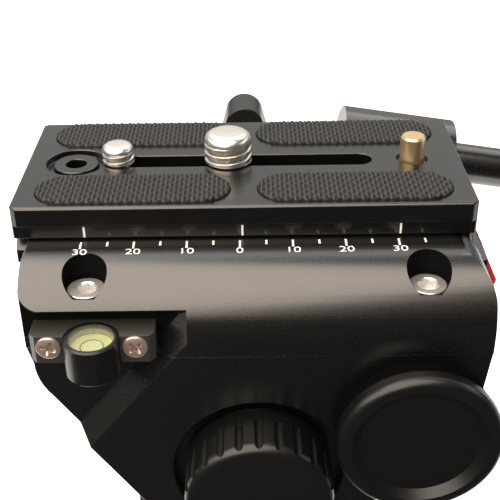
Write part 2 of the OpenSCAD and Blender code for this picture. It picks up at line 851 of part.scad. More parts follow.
// Housing on the +Y side, with the bores that both sides share
module cheek_blank()
    difference() {
        cheek_solid();
        across(0, tilt_z, axle_r + running_gap + bush_wall, wall_in - cut, wall_in + bush_l);
        across(0, tilt_z, axle_r + running_gap, wall_in, side_y + 1);
        across(0, tilt_z, drum_space_r, 0, wall_in);
        across(rosette_x, rosette_z, rosette_thread_r, wall_in - 4, side_y + 1);
        block_screw_places()
            upright(0, 0, cap_shank_r, bore_floor - cap_shank_l, seam_z + 1);
    }

module near_housing() color("#1a1a1b")
    difference() {
        mirror([0, 1, 0])
            cheek_blank();
        across(0, tilt_z, drag_knob_r + 2.5, -side_y - 1, -side_y + drag_recess);
        level_space();
    }

module far_housing() color("#1a1a1b")
    cheek_blank();

module block_screws() color("#c9cacc")
    for (s = [0, 1])
        mirror([0, s, 0])
            block_screw_places() {
                upright(0, 0, cap_shank_r, bore_floor - cap_shank_l, bore_floor + cut);
                difference() {
                    rotate_extrude()
                        translate([0, bore_floor])
                            polygon([
                                [0, 0], [cap_r, 0], [cap_r, cap_h - 0.4], [cap_r - 0.4, cap_h], [0, cap_h]
                            ]);
                    translate([0, 0, bore_floor + cap_h - 2])
                        cylinder(d = cap_hex / cos(30), h = 3, $fn = 6);
                }
            }

module tilt_bush()
    difference() {
        across(0, tilt_z, axle_r + running_gap + bush_wall, wall_in, wall_in + bush_l);
        across(0, tilt_z, axle_r + running_gap, wall_in - cut, side_y);
    }

module near_tilt_bush() color("#b08d57")
    mirror([0, 1, 0])
        tilt_bush();

module far_tilt_bush() color("#b08d57")
    tilt_bush();

// Level

module level_screw_places()
    for (s = [-1, 1])
        translate([level_x + s * level_pitch / 2, 0, level_mid])
            children();

module level_screw_holes()
    level_screw_places()
        across(0, 0, level_shank_r, -recess_y - 1, -recess_y + 5);

module level_bracket() color("#242425")
    difference() {
        translate([level_x, 0, level_top - level_h])
            linear_extrude(level_h)
                polygon([
                    [-level_w / 2, -recess_y], [-level_w / 2, level_bevel - level_face],
                    [level_bevel - level_w / 2, -level_face], [level_w / 2 - level_bevel, -level_face],
                    [level_w / 2, level_bevel - level_face], [level_w / 2, -recess_y]
                ]);
        upright(level_x, cup_y, cup_r, level_top - level_h - cut, level_top + cut);
        level_screw_places()
            across(0, 0, level_shank_r, -far, 0);
    }

module level_cup() color("#1d1d1e")
    translate([level_x, cup_y, 0])
        difference() {
            rotate_extrude()
                polygon([
                    [0, level_top - cup_h], [cup_r - 0.8, level_top - cup_h],
                    [cup_r, level_top - cup_h + 0.8], [cup_r, level_top - 0.3],
                    [cup_r - 0.3, level_top], [0, level_top]
                ]);
            upright(0, 0, cup_r - cup_wall, cup_floor, level_top + cut);
        }

module level_fluid() color("#c9d84a")
    upright(level_x, cup_y, cup_r - cup_wall, cup_floor, level_top - 0.9);

module level_window() color("#e4f0e0", 0.5)
    translate([level_x, cup_y, 0])
        rotate_extrude()
            polygon([
                [0, level_top - 0.9], [cup_r - cup_wall, level_top - 0.9],
                [cup_r - cup_wall, level_top - 0.3], [(cup_r - cup_wall) / 2, level_top - 0.05],
                [0, level_top]
            ]);

module level_screws() color("#b9a491")
    level_screw_places()
        mirror([0, 1, 0])
            difference() {
                turned_y(0, 0)
                    polygon([
                        [0, recess_y - 4.5], [level_shank_r, recess_y - 4.5], [level_shank_r, level_face],
                        [level_head_r, level_face], [level_head_r, level_face + level_head_h * 0.4],
                        [level_head_r * 0.8, level_face + level_head_h * 0.8],
                        [0, level_face + level_head_h]
                    ]);
                for (turn = [45, 135])
                    translate([0, level_face + level_head_h, 0])
                        rotate([0, turn, 0])
                            cube([1.2 * level_head_r, level_head_h, 0.6], center = true);
            }

// Rosettes and their cap

module rosette()
    difference() {
        across(rosette_x, rosette_z, rosette_r, side_y, rosette_face);
        across(rosette_x, rosette_z, rosette_thread_r, side_y - cut, rosette_face + cut);
        for (k = [0:29])
            translate([rosette_x, rosette_face, rosette_z])
                rotate([0, 12 * k, 0])
                    translate([rosette_r, 0, 0])
                        rotate([0, 0, 45])
                            cube([1.1, 1.1, 1.1], center = true);
    }

module near_rosette() color("#2a2a2b")
    mirror([0, 1, 0])
        rosette();

module far_rosette() color("#2a2a2b")
    rosette();

module rosette_cap() color("#151516")
    mirror([0, 1, 0])
        turned_y(rosette_x, rosette_z) {
            difference() {
                rounded_end(0, rosette_cap_r, cap_in, cap_out, 1.6);
                polygon([
                    [0, cap_out - rosette_cap_dish],
                    [rosette_cap_r - rosette_cap_rim, cap_out - rosette_cap_dish],
                    [rosette_cap_r - rosette_cap_rim * 0.6, cap_out + cut], [0, cap_out + cut]
                ]);
            }
            translate([0, side_y - bolt_depth])
                square([bolt_r, cap_in - side_y + bolt_depth + cut]);
        }

// Safety catch

module catch_pivot_pin() color("#b7babd")
    across(catch_pivot_x, catch_z, catch_pin_r, -2, catch_y + catch_w + 3);

module catch_spring() color("#7b7f84")
    translate([catch_pivot_x, 1, catch_z])
        rotate([-90, 0, 0])
            coil(catch_pin_r + 0.9, catch_spring_l, 4, 0.8);

module safety_catch() color("#c4251d")
    difference() {
        union() {
            translate([catch_pivot_x - catch_tail, catch_y, catch_z - catch_bar_h / 2])
                cube([deck_end - catch_pivot_x + catch_tail + 1, catch_w, catch_bar_h]);
            translate([plate_x - nose_l / 2, catch_y + catch_w - nose_w, catch_z])
                cube([nose_l, nose_w, tail_bottom + nose_h - catch_z]);
            along_y(-catch_reach, catch_y + catch_w)
                polygon([
                    [deck_end + finger_gap, deck_top - finger_gap], [deck_end + catch_out, deck_top - finger_bend],
                    [deck_end + catch_out, deck_top - finger_low],
                    [deck_end + catch_out / 2, deck_top - finger_low - finger_tip],
                    [deck_end + finger_gap, deck_top - finger_low + finger_tip]
                ]);
            for (k = [0:2])
                translate([deck_end + catch_out - 0.5, 1 - catch_reach, deck_top - 10.6 - 2.3 * k])
                    cube([1.1, catch_y + catch_w + catch_reach - 2, 1.1]);
        }
        across(catch_pivot_x, catch_z, catch_pin_r + running_gap, -far, far);
    }

// Knobs and levers on the sides

module tilt_drag_knob() color("#18181a")
    difference() {
        mirror([0, 1, 0])
            turned_y(0, tilt_z) {
                rounded_end(0, drag_knob_r, drag_floor + 0.3, drag_floor + drag_knob_l, 1.8);
                translate([0, axle_end + 0.3])
                    square([axle_r, drag_floor - axle_end + cut]);
            }
        for (k = [0:23])
            translate([0, 0, tilt_z])
                rotate([0, 15 * k, 0])
                    across(drag_knob_r + 0.5, 0, 1, -drag_floor - drag_knob_l - cut, -side_y - 2);
    }

// Flat lever from y0 to y1, turned up from +X: a round hub, a round tip and straight flanks
module lever_arm(hub, tip, l, turn, y0, y1)
    rotate([0, -turn, 0]) {
        upper = tangent([0, 0], hub - blend, [l, 0], tip - blend, 1);
        lower = tangent([0, 0], hub - blend, [l, 0], tip - blend, -1);
        along_y(y0, y1)
            polygon([upper[0], upper[1], [l, 0], lower[1], lower[0], [0, 0]]);
        across(0, 0, hub, y0, y1);
        across(l, 0, tip, y0, y1);
    }

module tilt_lock_lever() color("#18181a")
    translate([0, 0, tilt_z]) {
        hub_y = side_y + face_gap;
        across(0, 0, axle_r, axle_end + 0.3, hub_y + cut);
        across(0, 0, tilt_hub_r, hub_y, hub_y + tilt_hub_h);
        lever_arm(
            tilt_hub_r - 1, tilt_tip_r, tilt_lever_l - tilt_tip_r, tilt_lever_turn,
            hub_y + tilt_hub_h / 3, hub_y + tilt_hub_h + blend
        );
    }

module plate_lock_lever() color("#18181a")
    translate([plate_x, 0, lever_z]) {
        hub_y = side_y + face_gap;
        across(0, 0, lever_stem_r, jaw_back + jaw_travel + 0.3, hub_y + cut);
        lever_arm(plate_hub_r, plate_tip_r, plate_lever_l, 90, hub_y, hub_y + plate_hub_h);
    }

// Sliding plate

// Outline of the plate's cross section, in Y and Z
module plate_profile() {
    rim = plate_w / 2;
    band = rim - band_inset;
    polygon(concat(
        [[-rim, plate_top - rim_h], [-rim, plate_top - 0.4], [-rim + 0.4, plate_top]],
        [[rim - 0.4, plate_top], [rim, plate_top - 0.4], [rim, plate_top - rim_h]],
        [[band, plate_top - rim_h]],
        [[band, tail_top], [tail_neck_w / 2, tail_top], [tail_foot_w / 2, tail_top - tail_slope_h]],
        [[tail_foot_w / 2, tail_bottom], [-tail_foot_w / 2, tail_bottom]],
        [[-tail_foot_w / 2, tail_top - tail_slope_h], [-tail_neck_w / 2, tail_top], [-band, tail_top]],
        [[-band, plate_top - rim_h]]
    ));
}

module plate_plan() {
    x = plate_l / 2;
    y = plate_w / 2;
    polygon([
        [-x + corner_cut_x, -y], [x - corner_cut_x, -y], [x, -y + corner_cut_y], [x, y - corner_cut_y],
        [x - corner_cut_x, y], [-x + corner_cut_x, y], [-x, y - corner_cut_y], [-x, -y + corner_cut_y]
    ]);
}

module sliding_plate() color("#1e1d1d")
    translate([plate_x, 0, 0])
        difference() {
            intersection() {
                along_x(-plate_l / 2, plate_l / 2)
                    plate_profile();
                translate([0, 0, tail_bottom - cut])
                    linear_extrude(plate_top - tail_bottom + 1)
                        plate_plan();
            }
            for (p = pad_places)
                translate([p.x, p.y, plate_top - pad_seat])
                    linear_extrude(pad_seat + cut)
                        stadium(pad_l, pad_w);
            translate([slot_x, 0, tail_bottom - cut])
                linear_extrude(plate_top - tail_bottom + 1)
                    stadium(slot_l, slot_w);
            translate([(channel_start + channel_end) / 2, 0, tail_bottom - cut])
                linear_extrude(channel_h + cut)
                    stadium(channel_end - channel_start, channel_w);
            difference() {
                upright(recess_x, 0, recess_r, plate_top - recess_h, plate_top + cut);
                upright(recess_x, 0, boss_r, plate_top - recess_h - cut, plate_top - boss_drop);
            }
            upright(recess_x, 0, recess_hole_r, channel_top + 0.6, plate_top);
            upright(pin_x, 0, pin_guide_r + running_gap, pin_seat, plate_top + cut);
            upright(pin_x, 0, pin_bore_r, tail_bottom - cut, pin_seat);
            translate([-plate_travel - nose_l, catch_y + catch_w - nose_w - nose_gap, tail_bottom - cut])
                cube([2 * (plate_travel + nose_l), nose_w + 2 * nose_gap, nose_h + nose_gap + cut]);
        }

module pad(i)
    translate([plate_x + pad_places[i].x, pad_places[i].y, plate_top - pad_seat])
        linear_extrude(pad_seat + pad_h)
            stadium(pad_l, pad_w);

module pad_front_near() color("#2b2b2a")
    pad(0);

module pad_rear_near() color("#2b2b2a")
    pad(1);

module pad_front_far() color("#2b2b2a")
    pad(2);

module pad_rear_far() color("#2b2b2a")
    pad(3);

module locating_pin() color("#c9a24d")
    translate([plate_x + pin_x, 0, 0]) {
        rotate_extrude()
            polygon([
                [0, pin_seat - pin_collar], [pin_guide_r, pin_seat - pin_collar],
                [pin_guide_r, plate_top - 0.2], [pin_r, plate_top + 0.1], [pin_r, plate_top + pin_h - 0.4],
                [pin_r - 0.4, plate_top + pin_h], [0, plate_top + pin_h]
            ]);
        upright(0, 0, pin_collar_r, pin_seat - pin_collar, pin_seat - 0.05);
    }

module pin_plug() color("#8f9297")
    upright(plate_x + pin_x, 0, pin_bore_r, tail_bottom, tail_bottom + plug_h);

module pin_spring() color("#84888d")
    translate([plate_x + pin_x, 0, tail_bottom + plug_h])
        coil(pin_r - 0.2, pin_seat - pin_collar - tail_bottom - plug_h - 0.1, 4, 0.6, 10);

// Captive camera screw with its thread of radius r standing h above the plate, under a domed end
module camera_screw(x, r, h) {
    dome = 0.4 * r;
    translate([plate_x + x, 0, 0])
        difference() {
            rotate_extrude()
                polygon([
                    [0, tail_bottom + 0.4], [screw_head_r, tail_bottom + 0.4],
                    [screw_head_r, channel_top - washer_h - 0.1], [neck_r, channel_top - washer_h - 0.1],
                    [neck_r, plate_top + 0.3], [r - 0.5, plate_top + 0.3], [r, plate_top + 0.8],
                    for (a = [0:18:72])
                        [r - dome + dome * cos(a), plate_top + h - dome + dome * sin(a)],
                    [0, plate_top + h]
                ]);
            translate([-far, -0.6, tail_bottom])
                cube([2 * far, 1.2, 1.4]);
        }
}

module screw_washer(x)
    difference() {
        upright(plate_x + x, 0, screw_head_r, channel_top - washer_h - 0.05, channel_top - 0.05);
        upright(plate_x + x, 0, neck_r + running_gap, tail_bottom, channel_top + 1);
    }

module quarter_washer() color("#d9d5c8")
    screw_washer(quarter_x);

module quarter_screw() color("#cfd0d2")
    camera_screw(quarter_x, quarter_r, quarter_h);

module large_washer() color("#d9d5c8")
    screw_washer(large_x);

module large_screw() color("#cfd0d2")
    camera_screw(large_x, large_r, large_h);

// Pan handle

// Puts what is drawn along +X on the handle's rod, from the middle of the barrel
module on_rod()
    translate([rosette_x, rod_y, rod_z])
        rotate([0, rod_fall, 0])
            children();

// Turned body along the rod; its outline has the radius first
module turned_rod()
    on_rod()
        rotate([0, 90, 0])
            rotate_extrude()
                children();

module handle_bracket() color("#17171a")
    difference() {
        union() {
            across(rosette_x, rosette_z, rosette_r, handle_in, handle_out);
            translate([rosette_x - 8, handle_in, rosette_z])
                cube([16, handle_out - handle_in, rod_rise]);
            turned_rod()
                translate([0, -barrel_back])
                    square([barrel_r, barrel_l]);
        }
        across(rosette_x, rosette_z, bolt_r + 0.3, 0, 2 * far);
        turned_rod()
            translate([0, -barrel_back + 3])
                square([rod_r, barrel_l]);
    }

module handle_rod() color("#151517")
    turned_rod()
        translate([0, -barrel_back + 3])
            square([rod_r, rod_end + barrel_back - 3 + grip_l - 4]);

module handle_grip() color("#1f1f1f")
    turned_rod()
        difference() {
            translate([rod_r, rod_end])
                square([grip_r - rod_r, grip_l]);
            translate([grip_r - 3, rod_end])
                polygon([[0, -cut], [3 + cut, -cut], [3 + cut, 6]]);
            for (k = [1:8])
                translate([grip_r + 0.6, rod_end + k * grip_l / 9])
                    circle(1.8);
        }

module grip_end_cap() color("#121213")
    turned_rod() {
        translate([0, grip_end])
            square([grip_r, grip_cap_l]);
        translate([0, grip_end + grip_cap_l])
            polygon([[0, 0], [grip_r, 0], [grip_r - 2, 3], [0, 4]]);
    }

module handle_clamp_knob() color("#18181a")
    difference() {
        turned_y(rosette_x, rosette_z)
            rounded_end(bolt_r, clamp_knob_r, clamp_in, clamp_in + clamp_knob_l, 1.8);
        for (k = [0:5])
            translate([rosette_x, 0, rosette_z])
                rotate([0, 60 * k, 0])
                    across(clamp_knob_r + 2, 0, 4, clamp_in + 3, clamp_in + clamp_knob_l + cut);
    }

module handle_bolt() color("#a9acb1")
    across(rosette_x, rosette_z, bolt_r, side_y - bolt_depth, clamp_in + clamp_knob_l - 1);

base_flange();
degree_ring();
pan_spindle();
spindle_screws();
pan_fluid_cup();
pan_thrust_washer();
spindle_washer();
spindle_nut();
pan_housing();
pan_bush();
pan_brake_shoe();
tilt_axle();
tilt_damper_drum();
counterbalance_spring();
pan_lock_knob();
pan_lock_screw();
platform_deck();
near_side_block();
far_side_block();
near_housing();
far_housing();
block_screws();
near_tilt_bush();
far_tilt_bush();
level_bracket();
level_cup();
level_fluid();
level_window();
level_screws();
near_rosette();
far_rosette();
catch_pivot_pin();
catch_spring();
safety_catch();
tilt_drag_knob();
tilt_lock_lever();
rosette_cap();
plate_lock_lever();
clamp_jaw();
sliding_plate();
pad_front_near();
pad_rear_near();
pad_front_far();
pad_rear_far();
pin_spring();
pin_plug();
locating_pin();
quarter_washer();
quarter_screw();
large_washer();
large_screw();
handle_bracket();
handle_rod();
handle_grip();
grip_end_cap();
handle_clamp_knob();
handle_bolt();
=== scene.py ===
"""Finishes a fluid video head: metal and rubber surfaces, printed scale, threads, level and studio."""
import json
import math

import bmesh
import bpy
import numpy as np
from mathutils import Matrix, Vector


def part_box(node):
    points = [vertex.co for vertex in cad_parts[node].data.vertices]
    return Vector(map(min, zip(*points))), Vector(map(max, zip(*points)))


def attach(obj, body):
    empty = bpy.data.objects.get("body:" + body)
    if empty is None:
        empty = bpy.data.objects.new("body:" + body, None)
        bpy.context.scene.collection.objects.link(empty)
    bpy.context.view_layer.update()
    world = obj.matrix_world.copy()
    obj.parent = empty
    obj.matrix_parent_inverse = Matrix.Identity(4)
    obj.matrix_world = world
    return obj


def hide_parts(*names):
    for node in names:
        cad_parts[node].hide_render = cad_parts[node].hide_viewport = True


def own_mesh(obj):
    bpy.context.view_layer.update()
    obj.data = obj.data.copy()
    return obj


bl_info = {
    "name": "Fluid video head",
    "version": (1, 0, 0),
    "blender": (4, 5, 0),
    "location": "3D View > Sidebar > Video head",
    "description": "Finishes the surfaces and printed marks of a fluid video head",
    "category": "Object",
}

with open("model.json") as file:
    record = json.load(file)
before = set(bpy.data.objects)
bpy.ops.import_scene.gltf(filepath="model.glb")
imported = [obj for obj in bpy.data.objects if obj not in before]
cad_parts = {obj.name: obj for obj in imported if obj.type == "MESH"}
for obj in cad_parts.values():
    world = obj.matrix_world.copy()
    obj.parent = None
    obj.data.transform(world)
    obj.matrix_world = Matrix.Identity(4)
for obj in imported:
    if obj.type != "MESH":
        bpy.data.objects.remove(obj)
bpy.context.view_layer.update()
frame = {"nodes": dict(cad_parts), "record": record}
BODY_OF = {node: body for body, nodes in frame["record"]["behaviour"]["bodies"].items() for node in nodes}
SLOT_OF = {part["node"]: part["material_slot"] for part in frame["record"]["subparts"]}
MM = 0.001


def linear(hex_colour):
    """Linear RGBA of an sRGB hex colour: the power curve above its short straight start."""
    parts = np.array([int(hex_colour[i:i + 2], 16) for i in (1, 3, 5)]) / 255
    low = parts / 12.92
    high = ((parts + 0.055) / 1.055) ** 2.4
    return (*np.where(parts <= 0.04045, low, high).tolist(), 1.0)


def length(name, words, default):
    """Size property in metres, with its default given in millimetres."""
    return bpy.props.FloatProperty(
        name=name, description=words, default=default * MM, unit="LENGTH", precision=5
    )


def colour(name, words, default):
    """Colour property, with its default given as an sRGB hex value."""
    return bpy.props.FloatVectorProperty(
        name=name, description=words, default=linear(default), size=4, subtype="COLOR", min=0, max=1
    )


class HeadSizes(bpy.types.PropertyGroup):
    """Sizes of the marks and surface details."""

    zero_x: length("Scale zero", "Where the scale's zero stands along the head", -3.1)
    tick_step: length("Tick step", "Distance between neighbouring ticks", 5)
    tick_w: length("Tick width", "Width of a printed tick", 0.4)
    major_l: length("Long tick", "Length of the ticks with numbers", 2.2)
    minor_l: length("Short tick", "Length of the ticks without numbers", 1.4)
    number_h: length("Number height", "Height of the scale's numbers", 1.5)
    number_drop: length("Number drop", "Distance from the curve's start to the numbers' top", 2.32)
    number_wide: bpy.props.FloatProperty(
        name="Number width", description="Stretch of the numbers along the scale", default=1.42
    )
    mark_drop: length("Index drop", "Distance from the plate's top to the index marks' top", 4.4)
    ink_h: length("Ink height", "How far the printed ink stands out", 0.03)
    side_r: length("Side radius", "Radius of the curved side", 14)
    bump_w: length("Bump width", "Width of the pads' bumps along the plate", 1.8)
    bump_l: length("Bump length", "Length of the pads' bumps across the plate", 2.3)
    bump_h: length("Bump height", "Height of the pads' bumps", 0.65)
    bump_step: length("Pad step", "Distance between the points of the pads' surface", 0.14)
    pad_edge: length("Pad edge", "Radius of the pads' upper rim", 0.2)
    edge_r: length("Edge", "Width of the softened edges of the metal", 0.4)
    block_edge_r: length("Block edge", "Width of the softened edges of the side blocks", 0.45)
    pin_r: length("Pin", "Radius of the locating pin", 2.5)
    pin_guide_r: length("Pin guide", "Radius of the part of the pin that runs in the plate", 3.1)
    pin_sink: length("Pin step", "Depth of the step between guide and pin below the plate's top", 1.2)
    # Faces within this distance of a block screw's axis get the painted shade of the counterbores
    bore_r: length("Counterbore", "Distance from a block screw's axis within which its bore's faces lie", 4.2)
    cap_r: length("Cap screw", "Radius of the block screws' heads", 3.5)
    cap_h: length("Cap height", "Height of the block screws' heads", 2.6)
    cap_shank_r: length("Cap shank", "Radius of the block screws' shanks", 2)
    socket_w: length("Socket", "Width of the block screws' sockets across the flats", 3.6)
    socket_h: length("Socket depth", "Depth of the block screws' sockets", 1.8)
    quarter_r: length("Small screw", "Radius of the small camera screw", 3.175)
    large_r: length("Large screw", "Radius of the large camera screw", 4.76)
    quarter_pitch: length("Small pitch", "Thread pitch of the small camera screw", 1.27)
    large_pitch: length("Large pitch", "Thread pitch of the large camera screw", 1.5875)
    bubble_r: length("Bubble", "Radius of the level's bubble", 1.5)
    fluid_sink: length("Fluid", "Depth of the fluid's surface below the rim of the level", 2.1)
    vial_wall: length("Vial wall", "Wall of the level's clear vial", 0.35)
    cross_w: length("Cross width", "Width of the arms of the level screws' cross", 0.75)
    cross_l: length("Cross length", "Reach of the arms of the level screws' cross", 1.5)
    cross_h: length("Cross depth", "Depth of the level screws' cross", 0.7)
    grip_waist: length("Grip waist", "How much thinner the grip is at its ends than in its middle", 1.6)
    grip_end: length("Grip end", "Length of the grip's rounded ends", 3)
    grip_round: length("Grip rounding", "How far the grip's ends round inwards", 2.5)
    rib_pitch: length("Rib pitch", "Distance between the grip's ribs", 3.2)
    rib_h: length("Rib height", "Height of the grip's ribs", 0.7)
    degree_w: length("Degree mark", "Width of the marks on the degree ring", 0.3)
    degree_foot: length("Degree rim", "Height of the degree ring's straight foot", 1)
    degree_slant: length("Degree slant", "How far the degree ring's rim leans in", 1.2)


class HeadColours(bpy.types.PropertyGroup):
    """Colours of the finishes."""

    body: colour("Body", "Black anodised aluminium", "#080807")
    plate: colour("Plate", "Black anodised plate", "#0a0908")
    plastic: colour("Plastic", "Moulded knobs and levers", "#0c0c0b")
    rubber: colour("Rubber", "Pads and grip", "#131210")
    steel: colour("Steel", "Stainless screws", "#d9d6d0")
    nickel: colour("Nickel", "Plated camera screws", "#d8d5cf")
    cap: colour("Caps", "Heads of the block screws", "#dcdbd8")
    # Painted highlight: the sockets' inside is a half dull copy of the heads' steel, so that it shows pale
    socket: colour("Sockets", "Inside of the block screws' sockets", "#d2d1cc")
    copper: colour("Screws", "Level's plated screws", "#cbb8ad")
    brass: colour("Brass", "Locating pin", "#cfb78f")
    bracket: colour("Bracket", "Painted bracket of the level", "#282623")
    vial: colour("Vial", "Clear wall of the level", "#6e7059")
    red: colour("Catch", "Safety catch", "#b8150f")
    fluid: colour("Fluid", "Level's fluid", "#a3ab66")
    ink: colour("Ink", "Printed marks", "#e9e8e4")
    nylon: colour("Nylon", "Washers", "#d9d5c8")
    floor: colour("Floor", "Studio floor", "#f4f4f3")


def add_node(tree, kind, settings=(), links=()):
    """Adds one node: settings are (name or input, value) pairs, links are (input, output socket) pairs."""
    node = tree.nodes.new(kind)
    for name, value in settings:
        if isinstance(name, str) and hasattr(node, name):
            setattr(node, name, value)
        else:
            node.inputs[name].default_value = value
    for name, socket in links:
        tree.links.new(node.inputs[name], socket)
    return node


def surface(name, base, roughness, metallic=0.0, grain=0.2, depth=0.01, spread=0.08, extra=(), tone=0.75):
    """Material with fine grain: noise of the given grain, in mm, varies the roughness by spread and raises a
    bump of depth, in mm. Broad, faint patches run from the base colour to the base times tone."""
    patch = 9
    relief = 0.35
    polished = 0.02
    material = bpy.data.materials.new(name)
    material.use_nodes = True
    tree = material.node_tree
    tree.nodes.clear()
    place = add_node(tree, "ShaderNodeTexCoord").outputs["Object"]
    fine = add_node(
        tree, "ShaderNodeTexNoise", [("Scale", 1 / (grain * MM)), ("Detail", 3.0)], [("Vector", place)]
    ).outputs["Fac"]
    broad = add_node(
        tree, "ShaderNodeTexNoise", [("Scale", 1 / (patch * MM)), ("Detail", 4.0)], [("Vector", place)]
    ).outputs["Fac"]
    dark = (*(part * tone for part in base[:3]), 1.0)
    mixed = add_node(
        tree, "ShaderNodeMix", [("data_type", "RGBA"), (6, dark), (7, tuple(base))], [(0, broad)]
    ).outputs[2]
    gloss = add_node(
        tree,
        "ShaderNodeMapRange",
        [("To Min", max(roughness - spread, polished)), ("To Max", min(roughness + spread, 1.0))],
        [("Value", fine)],
    ).outputs[0]
    bump = add_node(
        tree, "ShaderNodeBump", [("Strength", relief), ("Distance", depth * MM)], [("Height", fine)]
    ).outputs[0]
    shader = add_node(
        tree,
        "ShaderNodeBsdfPrincipled",
        [("Metallic", metallic), *extra],
        [("Base Color", mixed), ("Roughness", gloss), ("Normal", bump)],
    )
    add_node(tree, "ShaderNodeOutputMaterial", (), [("Surface", shader.outputs[0])])
    return material


def finishes():
    """All materials by a short name, each from what the real surface is. The real grain is finer than a
    render shows, so it is drawn as coarse as it needs to show."""
    colours = bpy.context.scene.head_colours
    return {
        # Bead-blasted and black anodised: deep black with a soft, broad sheen
        "body": surface(
            "anodised_aluminium_body", colours.body, 0.27, grain=0.25, depth=0.002, spread=0.04,
            extra=[("Specular IOR Level", 1.0)],
        ),
        # Milled and black anodised: glossier, so that it mirrors what stands on it
        "plate": surface(
            "anodised_aluminium_plate", colours.plate, 0.24, grain=0.2, depth=0.006, spread=0.05,
            extra=[("Specular IOR Level", 0.8)],
        ),
        # Die-cast and painted: greyer and duller than the anodised pieces
        "bracket": surface(
            "painted_die_casting", colours.bracket, 0.42, grain=0.3, depth=0.01,
            extra=[("Specular IOR Level", 1.0)],
        ),
        # Dark steel rosettes, made near black and without sheen: painted shade round the rosette cap
        "rosette_shade": surface(
            "rosette_painted_shade", linear("#040404"), 0.8, grain=0.3, depth=0.01,
            extra=[("Specular IOR Level", 0.05)],
        ),
        # Painted shade in the counterbores: near black with almost no sheen, darker than the body
        "bore": surface(
            "counterbore_painted_shade", linear("#050505"), 0.7, grain=0.15, depth=0.01,
            extra=[("Specular IOR Level", 0.1)],
        ),
        # Moulded nylon with a fine spark texture: dull and even
        "plastic": surface("moulded_nylon_black", colours.plastic, 0.34, grain=0.4, depth=0.015),
        # Moulded rubber: a weak, broad sheen on each bump
        "rubber": surface("moulded_rubber", colours.rubber, 0.5, grain=0.3, depth=0.02),
        # Turned stainless steel: bright, with a slightly uneven gloss
        "steel": surface(
            "turned_stainless_steel", colours.steel, 0.22, metallic=1.0, grain=0.15, depth=0.004, tone=0.88,
        ),
        # Tumbled and nickel plated: satin, slightly warm white metal
        "nickel": surface(
            "tumbled_nickel_plate", colours.nickel, 0.3, metallic=0.9, grain=0.6, depth=0.002, spread=0.04,
            tone=0.92,
        ),
        # Stainless cap heads: pale and satin, so that they show bright in their bores, which are painted dark
        # as shade
        "cap": surface(
            "passivated_stainless_steel", colours.cap, 0.3, metallic=0.82, grain=0.6, depth=0.0005, tone=0.9,
        ),
        # Painted highlight in the hexagon sockets: a half dull copy of the heads' steel, so that the sockets
        # stay pale where a mirror would turn dark
        "socket": surface(
            "socket_painted_highlight", colours.socket, 0.3, metallic=0.5, grain=0.6, depth=0.0005, tone=0.95,
        ),
        # Copper-flashed screws: warm, half gloss
        "copper": surface(
            "copper_flashed_steel", colours.copper, 0.36, metallic=0.85, grain=0.6, depth=0.0005, tone=0.85,
        ),
        # Turned brass: pale yellow, satin
        "brass": surface(
            "turned_brass", colours.brass, 0.33, metallic=0.85, grain=0.6, depth=0.003, tone=0.9,
        ),
        # Moulded red ABS: coloured through, half gloss
        "red": surface("moulded_abs_red", colours.red, 0.38, grain=0.4, depth=0.02, tone=0.85),
        # Tinted spirit in the level: saturated, without a gloss of its own under the lens
        "fluid": surface(
            "tinted_level_fluid", colours.fluid, 0.2, grain=2.0, depth=0.001, tone=0.8,
            extra=[("Specular IOR Level", 0.05)],
        ),
        # Clear acrylic wall, seen edge on: grey-green
        "vial": surface("clear_acrylic_wall", colours.vial, 0.15, grain=1.0, depth=0.002, tone=0.6),
        # Clear acrylic lens over the fluid: a faint gloss that lets the colour through
        "lens": surface(
            "clear_acrylic", linear("#f4f7e4"), 0.06, grain=2.0, depth=0.001, tone=1.0,
            extra=[("Alpha", 0.07), ("IOR", 1.49)],
        ),
        # Screen-printed ink: flat white
        "ink": surface("printed_ink_white", colours.ink, 0.55, grain=0.3, depth=0.004, tone=0.95),
        # Natural nylon washers: milky and dull
        "nylon": surface("natural_nylon", colours.nylon, 0.5, grain=0.4, depth=0.01),
    }


SLOT_FINISH = {
    "black_body": "body", "steel": "steel", "bare_aluminium": "steel", "bronze": "brass", "nylon": "nylon",
    "black_plastic": "plastic", "rubber": "rubber", "red_plastic": "red", "level_fluid": "fluid",
    "glass": "lens",
}
# The rosettes take a near-black finish without sheen as painted shade round the rosette cap
NODE_FINISH = {
    "sliding_plate": "plate", "level_screws": "copper", "block_screws": "cap", "quarter_screw": "nickel",
    "large_screw": "nickel", "level_bracket": "bracket", "near_rosette": "rosette_shade", "far_rosette": "rosette_shade",
}
BEVELLED = [
    "sliding_plate", "near_side_block", "far_side_block", "platform_deck", "near_housing", "far_housing",
    "pan_housing", "handle_bracket", "tilt_lock_lever", "plate_lock_lever", "safety_catch", "level_bracket",
]
# Corners of a mark's cross section: to its two sides, and out of or into the surface it is printed on
SIDES = np.array([-1, 1, 1, -1])
FACES = np.array([1, 1, -1, -1])
PADS = ["pad_front_near", "pad_rear_near", "pad_front_far", "pad_rear_far"]
# Materials by short name, filled by the first step
FINISH = {}
# Points closer than this, in metres, are one point
MERGE = 1e-7
# Points round a turned surface
COLUMNS = 72


def finish_of(node):
    """The material of a node, by its own entry or its slot."""
    return FINISH[NODE_FINISH.get(node, SLOT_FINISH[SLOT_OF[node]])]


def new_piece(name, points, faces, material, body, slot, replaced=(), smooth=30):
    """Makes a mesh piece that rides on a body, with edges sharper than smooth degrees kept crisp."""
    mesh = bpy.data.meshes.new(name)
    mesh.from_pydata(points.tolist(), [], faces.tolist())
    work = bmesh.new()
    work.from_mesh(mesh)
    bmesh.ops.remove_doubles(work, verts=work.verts, dist=MERGE)
    bmesh.ops.dissolve_degenerate(work, dist=MERGE / 10, edges=work.edges)
    bmesh.ops.recalc_face_normals(work, faces=work.faces)
    work.to_mesh(mesh)
    work.free()
    return put(name, mesh, material, body, replaced, smooth)


